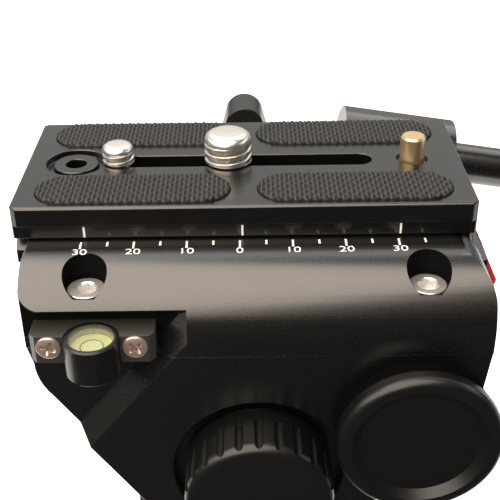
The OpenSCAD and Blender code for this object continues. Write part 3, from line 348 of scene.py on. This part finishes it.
def put(name, mesh, material, body, replaced=(), smooth=30):
    """Puts a mesh into the scene as a piece that rides on a body and stands for the replaced nodes."""
    mesh.shade_smooth()
    mesh.set_sharp_from_angle(angle=math.radians(smooth))
    mesh.materials.clear()
    mesh.materials.append(material)
    piece = bpy.data.objects.new(name, mesh)
    bpy.context.scene.collection.objects.link(piece)
    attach(piece, body)
    if replaced:
        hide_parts(*replaced)
    return piece


def corners(node):
    """The lowest and highest corner of a node, as arrays."""
    low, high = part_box(node)
    return np.array(low), np.array(high)


def cap_places(sizes):
    """The upright axes of the four block screws, one head's radius inside their common box."""
    low, high = corners("block_screws")
    ends = np.array([low + sizes.cap_r, high - sizes.cap_r])
    return np.stack(np.meshgrid(ends[:, 0], ends[:, 1]), -1).reshape(-1, 2)


def grid_faces(rows, columns):
    """Quads of a grid of rows by columns points, closed round the columns."""
    i, j = np.meshgrid(np.arange(rows - 1) * columns, np.arange(columns), indexing="ij")
    k = (j + 1) % columns
    return np.stack([i + j, i + k, i + columns + k, i + columns + j], -1).reshape(-1, 4)


def bars(points):
    """Points and faces of closed bars: points holds one row per bar, with its cross sections and their four
    corners."""
    count, sections = points.shape[:2]
    ends = np.array([[3, 2, 1, 0], np.arange(4) + 4 * (sections - 1)])
    one = np.concatenate([grid_faces(sections, 4), ends])
    start = 4 * sections * np.arange(count)[:, None, None]
    return points.reshape(-1, 3), (start + one).reshape(-1, 4)


def around(count):
    """Equal angles round one turn."""
    return np.linspace(0, 2 * math.pi, count, endpoint=False)


def turned(middles, r, z):
    """Turned surfaces about upright axes: the rows of radii and heights, each one number or one for each
    turn, are carried round each axis."""
    turn = around(COLUMNS)
    r, z = (np.stack([row + 0 * turn for row in rows]) for rows in (r, z))
    places = np.atleast_2d(middles)[:, None, None, :2]
    ring = np.stack([r * np.cos(turn), r * np.sin(turn)], -1)
    points = np.concatenate([places + ring, z[..., None] + 0 * places[..., :1]], -1)
    start = len(r) * COLUMNS * np.arange(len(places))[:, None, None]
    return points.reshape(-1, 3), (start + grid_faces(len(r), COLUMNS)).reshape(-1, 4)


class HEAD_OT_surfaces(bpy.types.Operator):
    """Gives every node its finish, paints shade into the side blocks' counterbores, and softens the edges of
    the metal pieces
    """

    bl_idname = "head.surfaces"
    bl_label = "Surfaces"

    def execute(self, context):
        sizes = context.scene.head_sizes
        FINISH.update(finishes())
        for node, piece in frame["nodes"].items():
            piece.data.materials.clear()
            piece.data.materials.append(finish_of(node))
        for node in BEVELLED:
            wide = node.endswith("side_block")
            piece = self.soften(node, sizes.block_edge_r if wide else sizes.edge_r)
            # Painted shade: the side blocks' counterbores get a near-black finish
            if wide:
                self.blacken(piece, sizes)
        return {"FINISHED"}

    def blacken(self, piece, sizes):
        """Paints shade into a block's counterbores: the faces that lie within them get a near-black finish of
        their own.
        """
        faces = piece.data.polygons
        places = np.empty(3 * len(faces))
        faces.foreach_get("center", places)
        away = places.reshape(-1, 1, 3)[..., :2] - cap_places(sizes)
        inside = np.hypot(away[..., 0], away[..., 1]).min(1) < sizes.bore_r
        piece.data.materials.append(FINISH["bore"])
        faces.foreach_set("material_index", inside.astype(np.int32))

    def soften(self, node, width):
        """Copy of a node: triangles within flat degrees of each other merge into one face, and edges over
        sharp degrees are bevelled."""
        flat, sharp = 0.5, 35
        mesh = frame["nodes"][node].data.copy()
        work = bmesh.new()
        work.from_mesh(mesh)
        bmesh.ops.remove_doubles(work, verts=work.verts, dist=10 * MERGE)
        bmesh.ops.dissolve_limit(work, angle_limit=math.radians(flat), verts=work.verts, edges=work.edges)
        work.to_mesh(mesh)
        work.free()
        piece = put(node + "_softened", mesh, finish_of(node), BODY_OF[node], [node], sharp)
        bevel = piece.modifiers.new("edges", "BEVEL")
        bevel.width = width
        bevel.segments = 3
        bevel.limit_method = "ANGLE"
        bevel.angle_limit = math.radians(sharp)
        bevel.use_clamp_overlap = True
        piece.modifiers.new("shading", "WEIGHTED_NORMAL").keep_sharp = True
        return piece


class HEAD_OT_scale(bpy.types.Operator):
    """Prints the scale's ticks and numbers on the curved side and the index marks on the plate"""

    bl_idname = "head.scale"
    bl_label = "Printed scale"

    # Ticks from 30 mm before the zero to 35 mm after it, a number at every second one
    FIRST, LAST = -6, 7

    def execute(self, context):
        sizes = context.scene.head_sizes
        low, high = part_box("near_side_block")
        self.radius = sizes.side_r
        self.centre = (low[1] + sizes.side_r, high[2] - sizes.side_r)
        self.ticks(np.arange(self.FIRST, self.LAST + 1), sizes)
        for k in range(self.FIRST, self.LAST, 2):
            self.number(k, abs(k) * round(sizes.tick_step / MM), sizes)
        self.index_marks(sizes, *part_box("sliding_plate"))
        self.degree_marks(sizes)
        return {"FINISHED"}

    def wrap(self, x, along, lift):
        """Points on the curved side: along is the arc's length from the curve's start, lift its height."""
        angle = along / self.radius
        out = self.radius + lift
        return np.stack([x, self.centre[0] - out * np.sin(angle), self.centre[1] + out * np.cos(angle)], -1)

    def ticks(self, k, sizes):
        """Closed strips of ink: a small rectangle for each tick, carried along the arc."""
        sections = 7
        reach = np.where(k % 2 == 0, sizes.major_l, sizes.minor_l)[:, None, None]
        along = reach * np.linspace(0, 1, sections)[:, None] + np.zeros(4)
        across = (sizes.zero_x + k * sizes.tick_step)[:, None, None] + sizes.tick_w / 2 * SIDES + 0 * along
        lift = sizes.ink_h * FACES + 0 * along
        points, faces = bars(self.wrap(across, along, lift))
        new_piece("scale_ticks", points, faces, FINISH["ink"], "tilt", "black_body")

    def number(self, k, value, sizes):
        """A number set as flat text, made a mesh and wrapped round the arc. The text's size is the height of
        its figures times the ratio."""
        ratio = 1.4
        strips = 10
        text = bpy.data.curves.new("number", "FONT")
        text.body = str(value)
        text.size = sizes.number_h * ratio
        text.align_x = "CENTER"
        text.extrude = sizes.ink_h
        flat = bpy.data.objects.new("number", text)
        bpy.context.scene.collection.objects.link(flat)
        bpy.context.view_layer.update()
        mesh = bpy.data.meshes.new_from_object(flat.evaluated_get(bpy.context.evaluated_depsgraph_get()))
        bpy.data.objects.remove(flat)
        self.cut_strips(mesh, np.linspace(0, sizes.number_h, strips))
        points = np.empty(len(mesh.vertices) * 3)
        mesh.vertices.foreach_get("co", points)
        points = points.reshape(-1, 3)
        along = sizes.number_drop + points[:, 1].max() - points[:, 1]
        across = sizes.zero_x + k * sizes.tick_step + points[:, 0] * sizes.number_wide
        placed = self.wrap(across, along, points[:, 2])
        mesh.vertices.foreach_set("co", placed.ravel())
        mesh.update()
        put("scale_number_%02d" % (k - self.FIRST), mesh, FINISH["ink"], "tilt")

    def cut_strips(self, mesh, heights):
        """Cuts a flat mesh into level strips, so that it can bend round the arc."""
        work = bmesh.new()
        work.from_mesh(mesh)
        bmesh.ops.remove_doubles(work, verts=work.verts, dist=MERGE)
        for y in heights:
            everything = [*work.verts, *work.edges, *work.faces]
            bmesh.ops.bisect_plane(work, geom=everything, plane_co=(0, y, 0), plane_no=(0, 1, 0))
        bmesh.ops.triangulate(work, faces=work.faces)
        work.to_mesh(mesh)
        work.free()

    def degree_marks(self, sizes):
        """A mark every five degrees on the degree ring's slanting rim, longer at every tens. Each runs from
        foot to its reach, as shares of the rim's height."""
        step = 5
        foot, long_reach, short_reach = 0.05, 0.9, 0.5
        low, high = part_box("degree_ring")
        rim_z, top_z, rim_r = low[2] + sizes.degree_foot, high[2], high[0]
        slope = sizes.degree_slant / (top_z - rim_z)
        k = np.arange(360 // step)
        reach = np.where(k % 2 == 0, long_reach, short_reach)[:, None]
        z = rim_z + np.concatenate([foot + 0 * reach, reach], 1)[..., None] * (top_z - rim_z)
        r = rim_r - slope * (z - rim_z) + sizes.ink_h * FACES
        turn = math.radians(step) * k[:, None, None] + sizes.degree_w / 2 / rim_r * SIDES + 0 * z
        points, faces = bars(np.stack([r * np.cos(turn), r * np.sin(turn), z + 0 * r], -1))
        new_piece("degree_marks", points, faces, FINISH["ink"], "base", "black_body")

    def index_marks(self, sizes, low, high):
        """Three upright marks on the plate's band, as thin closed blocks. The band is set back behind the
        plate's edge, and the marks stand a little beyond the ticks."""
        setback, beyond = 0.6 * MM, 0.5 * MM
        band_y = low[1] + setback
        top = high[2] - sizes.mark_drop
        middle = sizes.zero_x + np.array([self.FIRST, 0, -self.FIRST]) * sizes.tick_step + beyond
        z = np.array([top - sizes.major_l, top])[:, None] + np.zeros((3, 1, 4))
        x = middle[:, None, None] + sizes.tick_w / 2 * SIDES + 0 * z
        points, faces = bars(np.stack([x, band_y - sizes.ink_h * FACES + 0 * z, z], -1))
        new_piece("plate_marks", points, faces, FINISH["ink"], "plate", "black_body")


class HEAD_OT_pads(bpy.types.Operator):
    """Models the four rubber pads with raised bumps"""

    bl_idname = "head.pads"
    bl_label = "Rubber pads"

    def execute(self, context):
        sizes = context.scene.head_sizes
        for node in PADS:
            self.pad(node, *corners(node), sizes)
        return {"FINISHED"}

    def pad(self, node, low, high, sizes):
        """Sections carried along X: each is a stadium's width, and its top rounds down at the rim and
        rises in bumps. Their height is the product of two slanting half sine waves, made fuller by a
        power."""
        rounds = 45
        fullness = 0.8
        middle = (low + high) / 2
        half_l, half_w, _ = (high - low) / 2
        straight = half_l - half_w
        ends = straight + half_w * np.sin(np.linspace(0, math.pi / 2, rounds))
        inner = np.linspace(-straight, straight, int(2 * straight / sizes.bump_step))
        x = np.concatenate([-ends[:0:-1], inner, ends[1:]])[:, None]
        over = np.maximum(np.abs(x) - straight, 0)
        wide = np.sqrt(np.maximum(half_w ** 2 - over ** 2, 0))
        y = wide * np.linspace(-1, 1, int(2 * half_w / sizes.bump_step))
        rim = half_w - np.hypot(over, y)
        inside = np.clip(rim / sizes.pad_edge, 0, 1)
        fall = sizes.pad_edge * (1 - np.sqrt(1 - (1 - inside) ** 2))
        slants = np.stack([x / sizes.bump_w + y / sizes.bump_l, x / sizes.bump_w - y / sizes.bump_l])
        bumps = np.abs(np.sin(math.pi * slants)).prod(0) ** fullness
        top = high[2] - sizes.bump_h - fall + sizes.bump_h * bumps * inside
        under = wide * np.array([1, 0, -1])
        points = np.concatenate([
            np.stack([x + 0 * y, y, top], -1),
            np.stack([x + 0 * under, under, np.full_like(under, low[2])], -1),
        ], 1)
        points[..., :2] += middle[:2]
        rows, columns = points.shape[:2]
        new_piece(
            node + "_ribbed", points.reshape(-1, 3), grid_faces(rows, columns), finish_of(node),
            "plate", "rubber", [node], smooth=50,
        )


class HEAD_OT_threads(bpy.types.Operator):
    """Models the threads of the two camera screws and the sockets of the block screws"""

    bl_idname = "head.threads"
    bl_label = "Screws"

    def execute(self, context):
        sizes = context.scene.head_sizes
        self.screw("quarter_screw", sizes.quarter_r, sizes.quarter_pitch)
        self.screw("large_screw", sizes.large_r, sizes.large_pitch)
        self.block_screws(sizes)
        return {"FINISHED"}

    def block_screws(self, sizes):
        """Four cap heads: rows run up the shank, out over the head, down a countersink and into a hexagonal
        socket, whose radius is half its width over the cosine of the turn from the middle of its flat. The
        countersink falls as far as it narrows. A thin hexagonal cup in each socket carries a painted
        highlight."""
        node = "block_screws"
        low, high = corners(node)
        turn = around(COLUMNS)
        hexagon = sizes.socket_w / 2 / np.cos((turn + math.pi / 6) % (math.pi / 3) - math.pi / 6)
        edge, highlight_wall, bared, lip = np.array([0.12, 0.04, 0.1, 0.1]) * MM
        mouth_r = hexagon.max() + lip
        top, under, floor = high[2] - np.array([0, sizes.cap_h, sizes.socket_h])
        sunk = top - (mouth_r - hexagon)
        shank_r, head_r = sizes.cap_shank_r, sizes.cap_r
        r = [0, shank_r, shank_r, head_r, head_r, head_r - edge, mouth_r, hexagon, hexagon, 0]
        z = [low[2], low[2], under, under, top - edge, top, top, sunk, floor, floor]
        middles = cap_places(sizes)
        new_piece(
            node + "_socketed", *turned(middles, r, z), finish_of(node), "tilt", "steel", [node], smooth=25,
        )
        inner = hexagon - highlight_wall
        r = [0, hexagon, hexagon, inner, inner, 0]
        z = [floor, floor, sunk - bared, sunk - bared, floor + highlight_wall, floor + highlight_wall]
        # Painted highlight: a thin cup inside each socket takes the half dull socket finish
        new_piece(
            "block_screw_socket_highlights", *turned(middles, r, z), FINISH["socket"], "tilt", "steel", smooth=25,
        )

    def screw(self, node, radius, pitch):
        """Turned surface: rows run up the head, neck and thread and over the dome. On the thread the
        radius dips by a triangle wave of height over pitch less the turn, which makes the helix, and the
        grooves run out at both ends."""
        gap, neck_r, foot, run_out = np.array([0.05, 2.4, 0.3, 0.4]) * MM
        groove_h = 0.45 * pitch
        dome = 0.4 * radius
        crown = 0.95
        rows, rounds = 60, 14
        low, high = corners(node)
        middle = (low + high) / 2
        plate_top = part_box("sliding_plate")[1][2]
        head_r = (high[0] - low[0]) / 2
        head_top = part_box(node.replace("screw", "washer"))[0][2] - gap
        start = plate_top + foot
        end = high[2] - dome
        heights = np.linspace(start, end, rows)
        bend = np.linspace(0, math.pi / 2, rounds)[1:]
        foot_z = [low[2], low[2], head_top, head_top, start]
        foot_r = [0, head_r, head_r, neck_r, neck_r]
        z = np.concatenate([foot_z, heights, end + crown * dome * np.sin(bend), [high[2]]])
        r = np.concatenate([foot_r, np.full(rows, radius), radius - dome + dome * np.cos(bend), [0]])
        turn = np.linspace(0, 1, COLUMNS, endpoint=False)
        phase = (z[:, None] - start) / pitch - turn
        valley = np.clip(2 * np.abs(2 * (phase - np.floor(phase)) - 1) - 1, 0, 1)
        inside = np.zeros(len(z))
        thread = slice(len(foot_r), len(foot_r) + rows)
        inside[thread] = np.clip(np.minimum(heights - start, end - heights) / run_out, 0, 1)
        grooved_r = r[:, None] - inside[:, None] * groove_h * valley
        new_piece(
            node + "_threaded", *turned(middle, grooved_r, z), finish_of(node), BODY_OF[node], "steel",
            [node], smooth=40,
        )


class HEAD_OT_pin(bpy.types.Operator):
    """Models the turned locating pin and its spring"""

    bl_idname = "head.pin"
    bl_label = "Locating pin"

    def execute(self, context):
        """Turned surface: collar, guide, a step under the plate's top, then the pin with its chamfer."""
        sizes = context.scene.head_sizes
        collar_h, edge = 0.75 * MM, 0.4 * MM
        node = "locating_pin"
        low, high = corners(node)
        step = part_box("sliding_plate")[1][2] - sizes.pin_sink
        collar_r = (high[0] - low[0]) / 2
        shoulder = low[2] + collar_h
        guide_r, pin_r = sizes.pin_guide_r, sizes.pin_r
        r = [0, collar_r, collar_r, guide_r, guide_r, pin_r, pin_r, pin_r - edge, 0]
        z = [low[2], low[2], shoulder, shoulder, step, step, high[2] - edge, high[2], high[2]]
        new_piece(
            node + "_turned", *turned((low + high) / 2, r, z), finish_of(node), "pin", "bronze", [node],
            smooth=40,
        )
        self.spring()
        return {"FINISHED"}

    def spring(self):
        """The coil under the pin's collar, put in as a copy of its mesh; the real coil shortens by the pin's
        travel.
        """
        node = "pin_spring"
        mesh = frame["nodes"][node].data.copy()
        coil = put(
            node + "_pressed", mesh, finish_of(node), BODY_OF[node], [node], smooth=60,
        )
        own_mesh(coil)


class HEAD_OT_level(bpy.types.Operator):
    """Models the level's fluid, vial, bubble, ring and its two screws"""

    bl_idname = "head.level"
    bl_label = "Level"

    def execute(self, context):
        sizes = context.scene.head_sizes
        drift = np.array([0.5, 0.4, 0]) * MM
        ring_r, ring_w = 1.4 * sizes.bubble_r, 0.1 * MM
        low, high = corners("level_fluid")
        middle = (low + high) / 2
        surface_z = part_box("level_cup")[1][2] - sizes.fluid_sink
        radius = (high[0] - low[0]) / 2
        self.fluid(middle, radius, low[2], surface_z)
        self.vial(middle, radius, surface_z, high[2], sizes.vial_wall)
        self.ring("level_ring", middle, surface_z, ring_r, ring_w)
        self.bubble("level_bubble", middle + drift, surface_z, sizes.bubble_r)
        self.screws(sizes)
        return {"FINISHED"}

    def fluid(self, middle, radius, bottom, top):
        """Turned surface: a straight wall and a top that sinks a little towards the middle."""
        node = "level_fluid"
        edge = 0.15 * MM
        r = [0, radius, radius, radius - edge, 0]
        z = [bottom, bottom, top - edge, top, top - edge]
        new_piece(
            node + "_filled", *turned(middle, r, z), finish_of(node), "tilt", "level_fluid", [node],
        )

    def vial(self, middle, radius, bottom, top, wall):
        """Turned surface: a thin tube between the fluid and the window."""
        inner = radius - wall
        r = [radius, inner, inner, radius, radius]
        z = [bottom, bottom, top, top, bottom]
        new_piece("level_vial", *turned(middle, r, z), FINISH["vial"], "tilt", "glass")

    def screws(self, sizes):
        """Round heads on a grid of radius and turn: a dome on a straight rim, less a cross, whose depth falls
        off with the distance from its arms, on a plain shank. Each cross leans by its own angle, in
        radians."""
        shank_r, shank_l, fade = np.array([1.25, 4, 0.6]) * MM
        rim, bow, steep = 0.35, 0.98, 2
        rings, columns = 40, 96
        left_lean, right_lean = 0.35, 0.9
        node = "level_screws"
        low, high = corners(node)
        head_r = (high[2] - low[2]) / 2
        face_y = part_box("level_bracket")[0][1]
        dome = face_y - low[1]
        turn = around(columns)
        r = head_r * np.linspace(0, 1, rings)[:, None] + 0 * turn
        shank = np.array([[head_r, 0], [shank_r, 0], [shank_r, shank_l], [0, shank_l]])
        parts = []
        for x, lean in ((low[0] + head_r, left_lean), (high[0] - head_r, right_lean)):
            off_arms = r * np.minimum(np.abs(np.cos(turn + lean)), np.abs(np.sin(turn + lean)))
            arm = np.maximum(1 - off_arms / (sizes.cross_w / 2), 0)
            sunk = sizes.cross_h * np.clip(steep * arm, 0, 1) * np.clip((sizes.cross_l - r) / fade, 0, 1)
            rise = dome * (rim + (1 - rim) * np.sqrt(1 - bow * (r / head_r) ** 2)) - sunk
            rows_r = np.concatenate([r, shank[:, :1] + 0 * turn])
            rows_y = np.concatenate([face_y - rise, face_y + shank[:, 1:] + 0 * turn])
            parts.append(np.stack([
                x + rows_r * np.cos(turn), rows_y, (low[2] + high[2]) / 2 + rows_r * np.sin(turn),
            ], -1))
        rows = rings + len(shank)
        faces = grid_faces(rows, columns)
        faces = np.concatenate([faces, faces + rows * columns])
        new_piece(
            node + "_domed", np.concatenate(parts).reshape(-1, 3), faces, finish_of(node), "tilt", "steel",
            [node], smooth=25,
        )

    def ring(self, name, middle, z, radius, thick):
        """Torus: a small circle, flattened to half its height, carried round a large one."""
        flat = 0.5
        rows, columns = 48, 8
        turn, tube = np.meshgrid(around(rows), around(columns), indexing="ij")
        r = radius + thick * np.cos(tube)
        points = np.stack([
            middle[0] + r * np.cos(turn), middle[1] + r * np.sin(turn), z + thick * flat * np.sin(tube),
        ], -1)
        points = np.concatenate([points, points[:1]]).reshape(-1, 3)
        new_piece(name, points, grid_faces(rows + 1, columns), FINISH["plastic"], "tilt", "black_plastic")

    def bubble(self, name, middle, z, radius):
        """Flattened ball: circles of latitude squeezed to about an eighth of their height."""
        flat = 0.12
        rows, columns = 17, 40
        turn, rise = np.meshgrid(around(columns), np.linspace(-math.pi / 2, math.pi / 2, rows))
        points = np.stack([
            middle[0] + radius * np.cos(rise) * np.cos(turn),
            middle[1] + radius * np.cos(rise) * np.sin(turn),
            z + flat * radius * np.sin(rise),
        ], -1).reshape(-1, 3)
        new_piece(name, points, grid_faces(rows, columns), FINISH["lens"], "tilt", "glass")


class HEAD_OT_grip(bpy.types.Operator):
    """Models the handle's ribbed rubber grip"""

    bl_idname = "head.grip"
    bl_label = "Grip"

    def execute(self, context):
        sizes = context.scene.head_sizes
        rod, grip = (self.vertices(node) for node in ("handle_rod", "handle_grip"))
        middle = rod.mean(0)
        axis = np.linalg.svd(rod - middle, full_matrices=False)[2][0]
        axis *= np.sign(axis[0])
        along = (grip - middle) @ axis
        out = np.linalg.norm(grip - middle - np.outer(along, axis), axis=1)
        self.sleeve(middle, axis, (along.min(), along.max()), (out.min(), out.max()), sizes)
        return {"FINISHED"}

    def vertices(self, node):
        """Vertices of a node's mesh as an array."""
        mesh = frame["nodes"][node].data
        points = np.empty(len(mesh.vertices) * 3)
        mesh.vertices.foreach_get("co", points)
        return points.reshape(-1, 3)

    def sleeve(self, middle, axis, span, radii, sizes):
        """Tube round the rod: its outside swells by a half sine, less the cosine ribs, and rounds off
        at both ends by the root of the distance from the end."""
        node = "handle_grip"
        rows, columns = 320, 96
        start, end = span
        inner, outer = radii
        place = np.linspace(start, end, rows)
        swell = outer - sizes.grip_waist * (1 - np.sin(math.pi * (place - start) / (end - start)))
        ribs = sizes.rib_h * (0.5 - 0.5 * np.cos(2 * math.pi * (place - start) / sizes.rib_pitch))
        near_end = np.clip(np.minimum(place - start, end - place) / sizes.grip_end, 0, 1)
        round_off = sizes.grip_round * (1 - np.sqrt(1 - (1 - near_end) ** 2))
        r = np.concatenate([swell - ribs * near_end - round_off, [inner, inner]])
        t = np.concatenate([place, [end, start]])
        turn = around(columns)
        side = np.cross(axis, (0, 0, 1))
        side /= np.linalg.norm(side)
        up = np.cross(side, axis)
        ring = np.cos(turn)[:, None] * side + np.sin(turn)[:, None] * up
        points = middle + t[:, None, None] * axis + r[:, None, None] * ring
        points = np.concatenate([points, points[:1]])
        new_piece(
            node + "_ribbed", points.reshape(-1, 3), grid_faces(len(points), columns), finish_of(node),
            "handle", "rubber", [node], smooth=45,
        )


class HEAD_OT_stage(bpy.types.Operator):
    """Sets up the pale floor, the soft lights and the camera"""

    bl_idname = "head.stage"
    bl_label = "Stage"

    # Half the width of the floor in metres
    REACH = 2.0

    def execute(self, context):
        scene = context.scene
        self.floor(scene)
        self.lights(scene)
        self.camera(scene)
        self.surroundings(scene)
        scene.view_settings.view_transform = "Standard"
        return {"FINISHED"}

    def surroundings(self, scene):
        """A dim room for the light, shown pale behind the head."""
        cast, shown = 0.02, 0.95
        world = bpy.data.worlds.new("studio")
        world.use_nodes = True
        tree = world.node_tree
        tree.nodes.clear()
        seen = add_node(tree, "ShaderNodeLightPath").outputs["Is Camera Ray"]
        strength = add_node(
            tree, "ShaderNodeMapRange", [("To Min", cast), ("To Max", shown)], [("Value", seen)]
        ).outputs[0]
        room = add_node(
            tree, "ShaderNodeBackground", [("Color", linear("#f5f5f4"))], [("Strength", strength)]
        ).outputs[0]
        add_node(tree, "ShaderNodeOutputWorld", (), [("Surface", room)])
        scene.world = world

    def card(self, scene, name, near, far, z, material):
        """Flat level card from near to far along Y, as wide as the floor."""
        mesh = bpy.data.meshes.new(name)
        left, right = -self.REACH, self.REACH
        outline = [(left, near, z), (right, near, z), (right, far, z), (left, far, z)]
        mesh.from_pydata(outline, [], [[0, 1, 2, 3]])
        mesh.materials.append(material)
        card = bpy.data.objects.new(name, mesh)
        scene.collection.objects.link(card)
        return card

    def floor(self, scene):
        """White paper, lit from below as on a light table and low enough for the handle's swing below the
        base, and a black flag in front of the head that only reflections see."""
        pale = scene.head_colours.floor
        glow = 0.8
        floor_drop, flag_end, flag_z = np.array([180, -40, 1]) * MM
        paper = surface(
            "studio_paper", pale, 0.9, grain=2.0, depth=0.001, tone=0.99,
            extra=[("Emission Color", pale), ("Emission Strength", glow)],
        )
        self.card(scene, "floor", -self.REACH, self.REACH, -floor_drop, paper)
        felt = surface("black_felt", linear("#060606"), 1.0, grain=2.0, depth=0.001)
        flag = self.card(scene, "black_flag", -self.REACH, flag_end, flag_z, felt)
        flag.visible_camera = False
        flag.visible_shadow = False
        flag.visible_diffuse = False

    def lights(self, scene):
        """A large softbox above the camera, a white wall behind the head, a light over the paper and a strip
        to each side: places, aims and sizes in metres, power in watts."""
        head = (0.0, -0.03, 0.1)
        for name, place, aim, size, power, warm in (
            ("softbox", (-0.2, -0.297, 0.581), head, (0.9, 1.0), 14.0, "#fff0e2"),
            ("back_wall", (0.0, 1.2, 0.7), head, (2.6, 1.2), 7.5, "#fffaf4"),
            ("paper_softbox", (0.0, 0.6, 0.85), (0.0, 0.6, 0.0), (1.4, 0.8), 8.0, "#ffffff"),
            ("left_strip", (-0.8, 0.1, 0.46), head, (0.9, 0.25), 1.4, "#ffffff"),
            ("right_strip", (0.8, 0.1, 0.46), head, (0.9, 0.25), 1.4, "#ffffff"),
        ):
            lamp = bpy.data.lights.new(name, "AREA")
            lamp.shape = "RECTANGLE"
            lamp.size, lamp.size_y = size
            lamp.energy = power
            lamp.color = linear(warm)[:3]
            light = bpy.data.objects.new(name, lamp)
            away = np.array(place) - np.array(aim)
            turn = math.atan2(away[0], -away[1])
            lean = math.atan2(math.hypot(away[0], away[1]), away[2])
            light.matrix_world = (
                Matrix.Translation(place) @ Matrix.Rotation(turn, 4, "Z") @ Matrix.Rotation(lean, 4, "X")
            )
            scene.collection.objects.link(light)

    def camera(self, scene):
        """Looks along +Y and down, at the photograph's pitch, roll and distance."""
        place = (-1.21 * MM, -178.12 * MM, 195.58 * MM)
        pitch, roll = 30.49, -0.73
        data = bpy.data.cameras.new("camera")
        data.sensor_width = 36.0
        data.lens = 69.2
        data.clip_start = 0.01
        camera = bpy.data.objects.new("camera", data)
        camera.matrix_world = (
            Matrix.Translation(place)
            @ Matrix.Rotation(math.radians(90 - pitch), 4, "X")
            @ Matrix.Rotation(math.radians(roll), 4, "Z")
        )
        scene.collection.objects.link(camera)
        scene.camera = camera


STEPS = (
    HEAD_OT_surfaces, HEAD_OT_scale, HEAD_OT_pads, HEAD_OT_threads, HEAD_OT_pin, HEAD_OT_level, HEAD_OT_grip,
    HEAD_OT_stage,
)


class HEAD_PT_panel(bpy.types.Panel):
    """Lists the head's steps in the sidebar"""

    bl_idname = "HEAD_PT_panel"
    bl_label = "Video head"
    bl_space_type = "VIEW_3D"
    bl_region_type = "UI"
    bl_category = "Video head"

    def draw(self, context):
        for step in STEPS:
            self.layout.operator(step.bl_idname)


CLASSES = (HeadSizes, HeadColours, *STEPS, HEAD_PT_panel)


def register():
    """Registers the classes and hangs the sizes and colours on the scene."""
    for item in CLASSES:
        bpy.utils.register_class(item)
    bpy.types.Scene.head_sizes = bpy.props.PointerProperty(type=HeadSizes)
    bpy.types.Scene.head_colours = bpy.props.PointerProperty(type=HeadColours)


def unregister():
    """Undoes register, in the opposite order."""
    del bpy.types.Scene.head_colours
    del bpy.types.Scene.head_sizes
    for item in reversed(CLASSES):
        bpy.utils.unregister_class(item)


def main():
    """Runs every step in order."""
    register()
    bpy.ops.head.surfaces()
    bpy.ops.head.scale()
    bpy.ops.head.pads()
    bpy.ops.head.threads()
    bpy.ops.head.pin()
    bpy.ops.head.level()
    bpy.ops.head.grip()
    bpy.ops.head.stage()


if __name__ == "__main__":
    main()
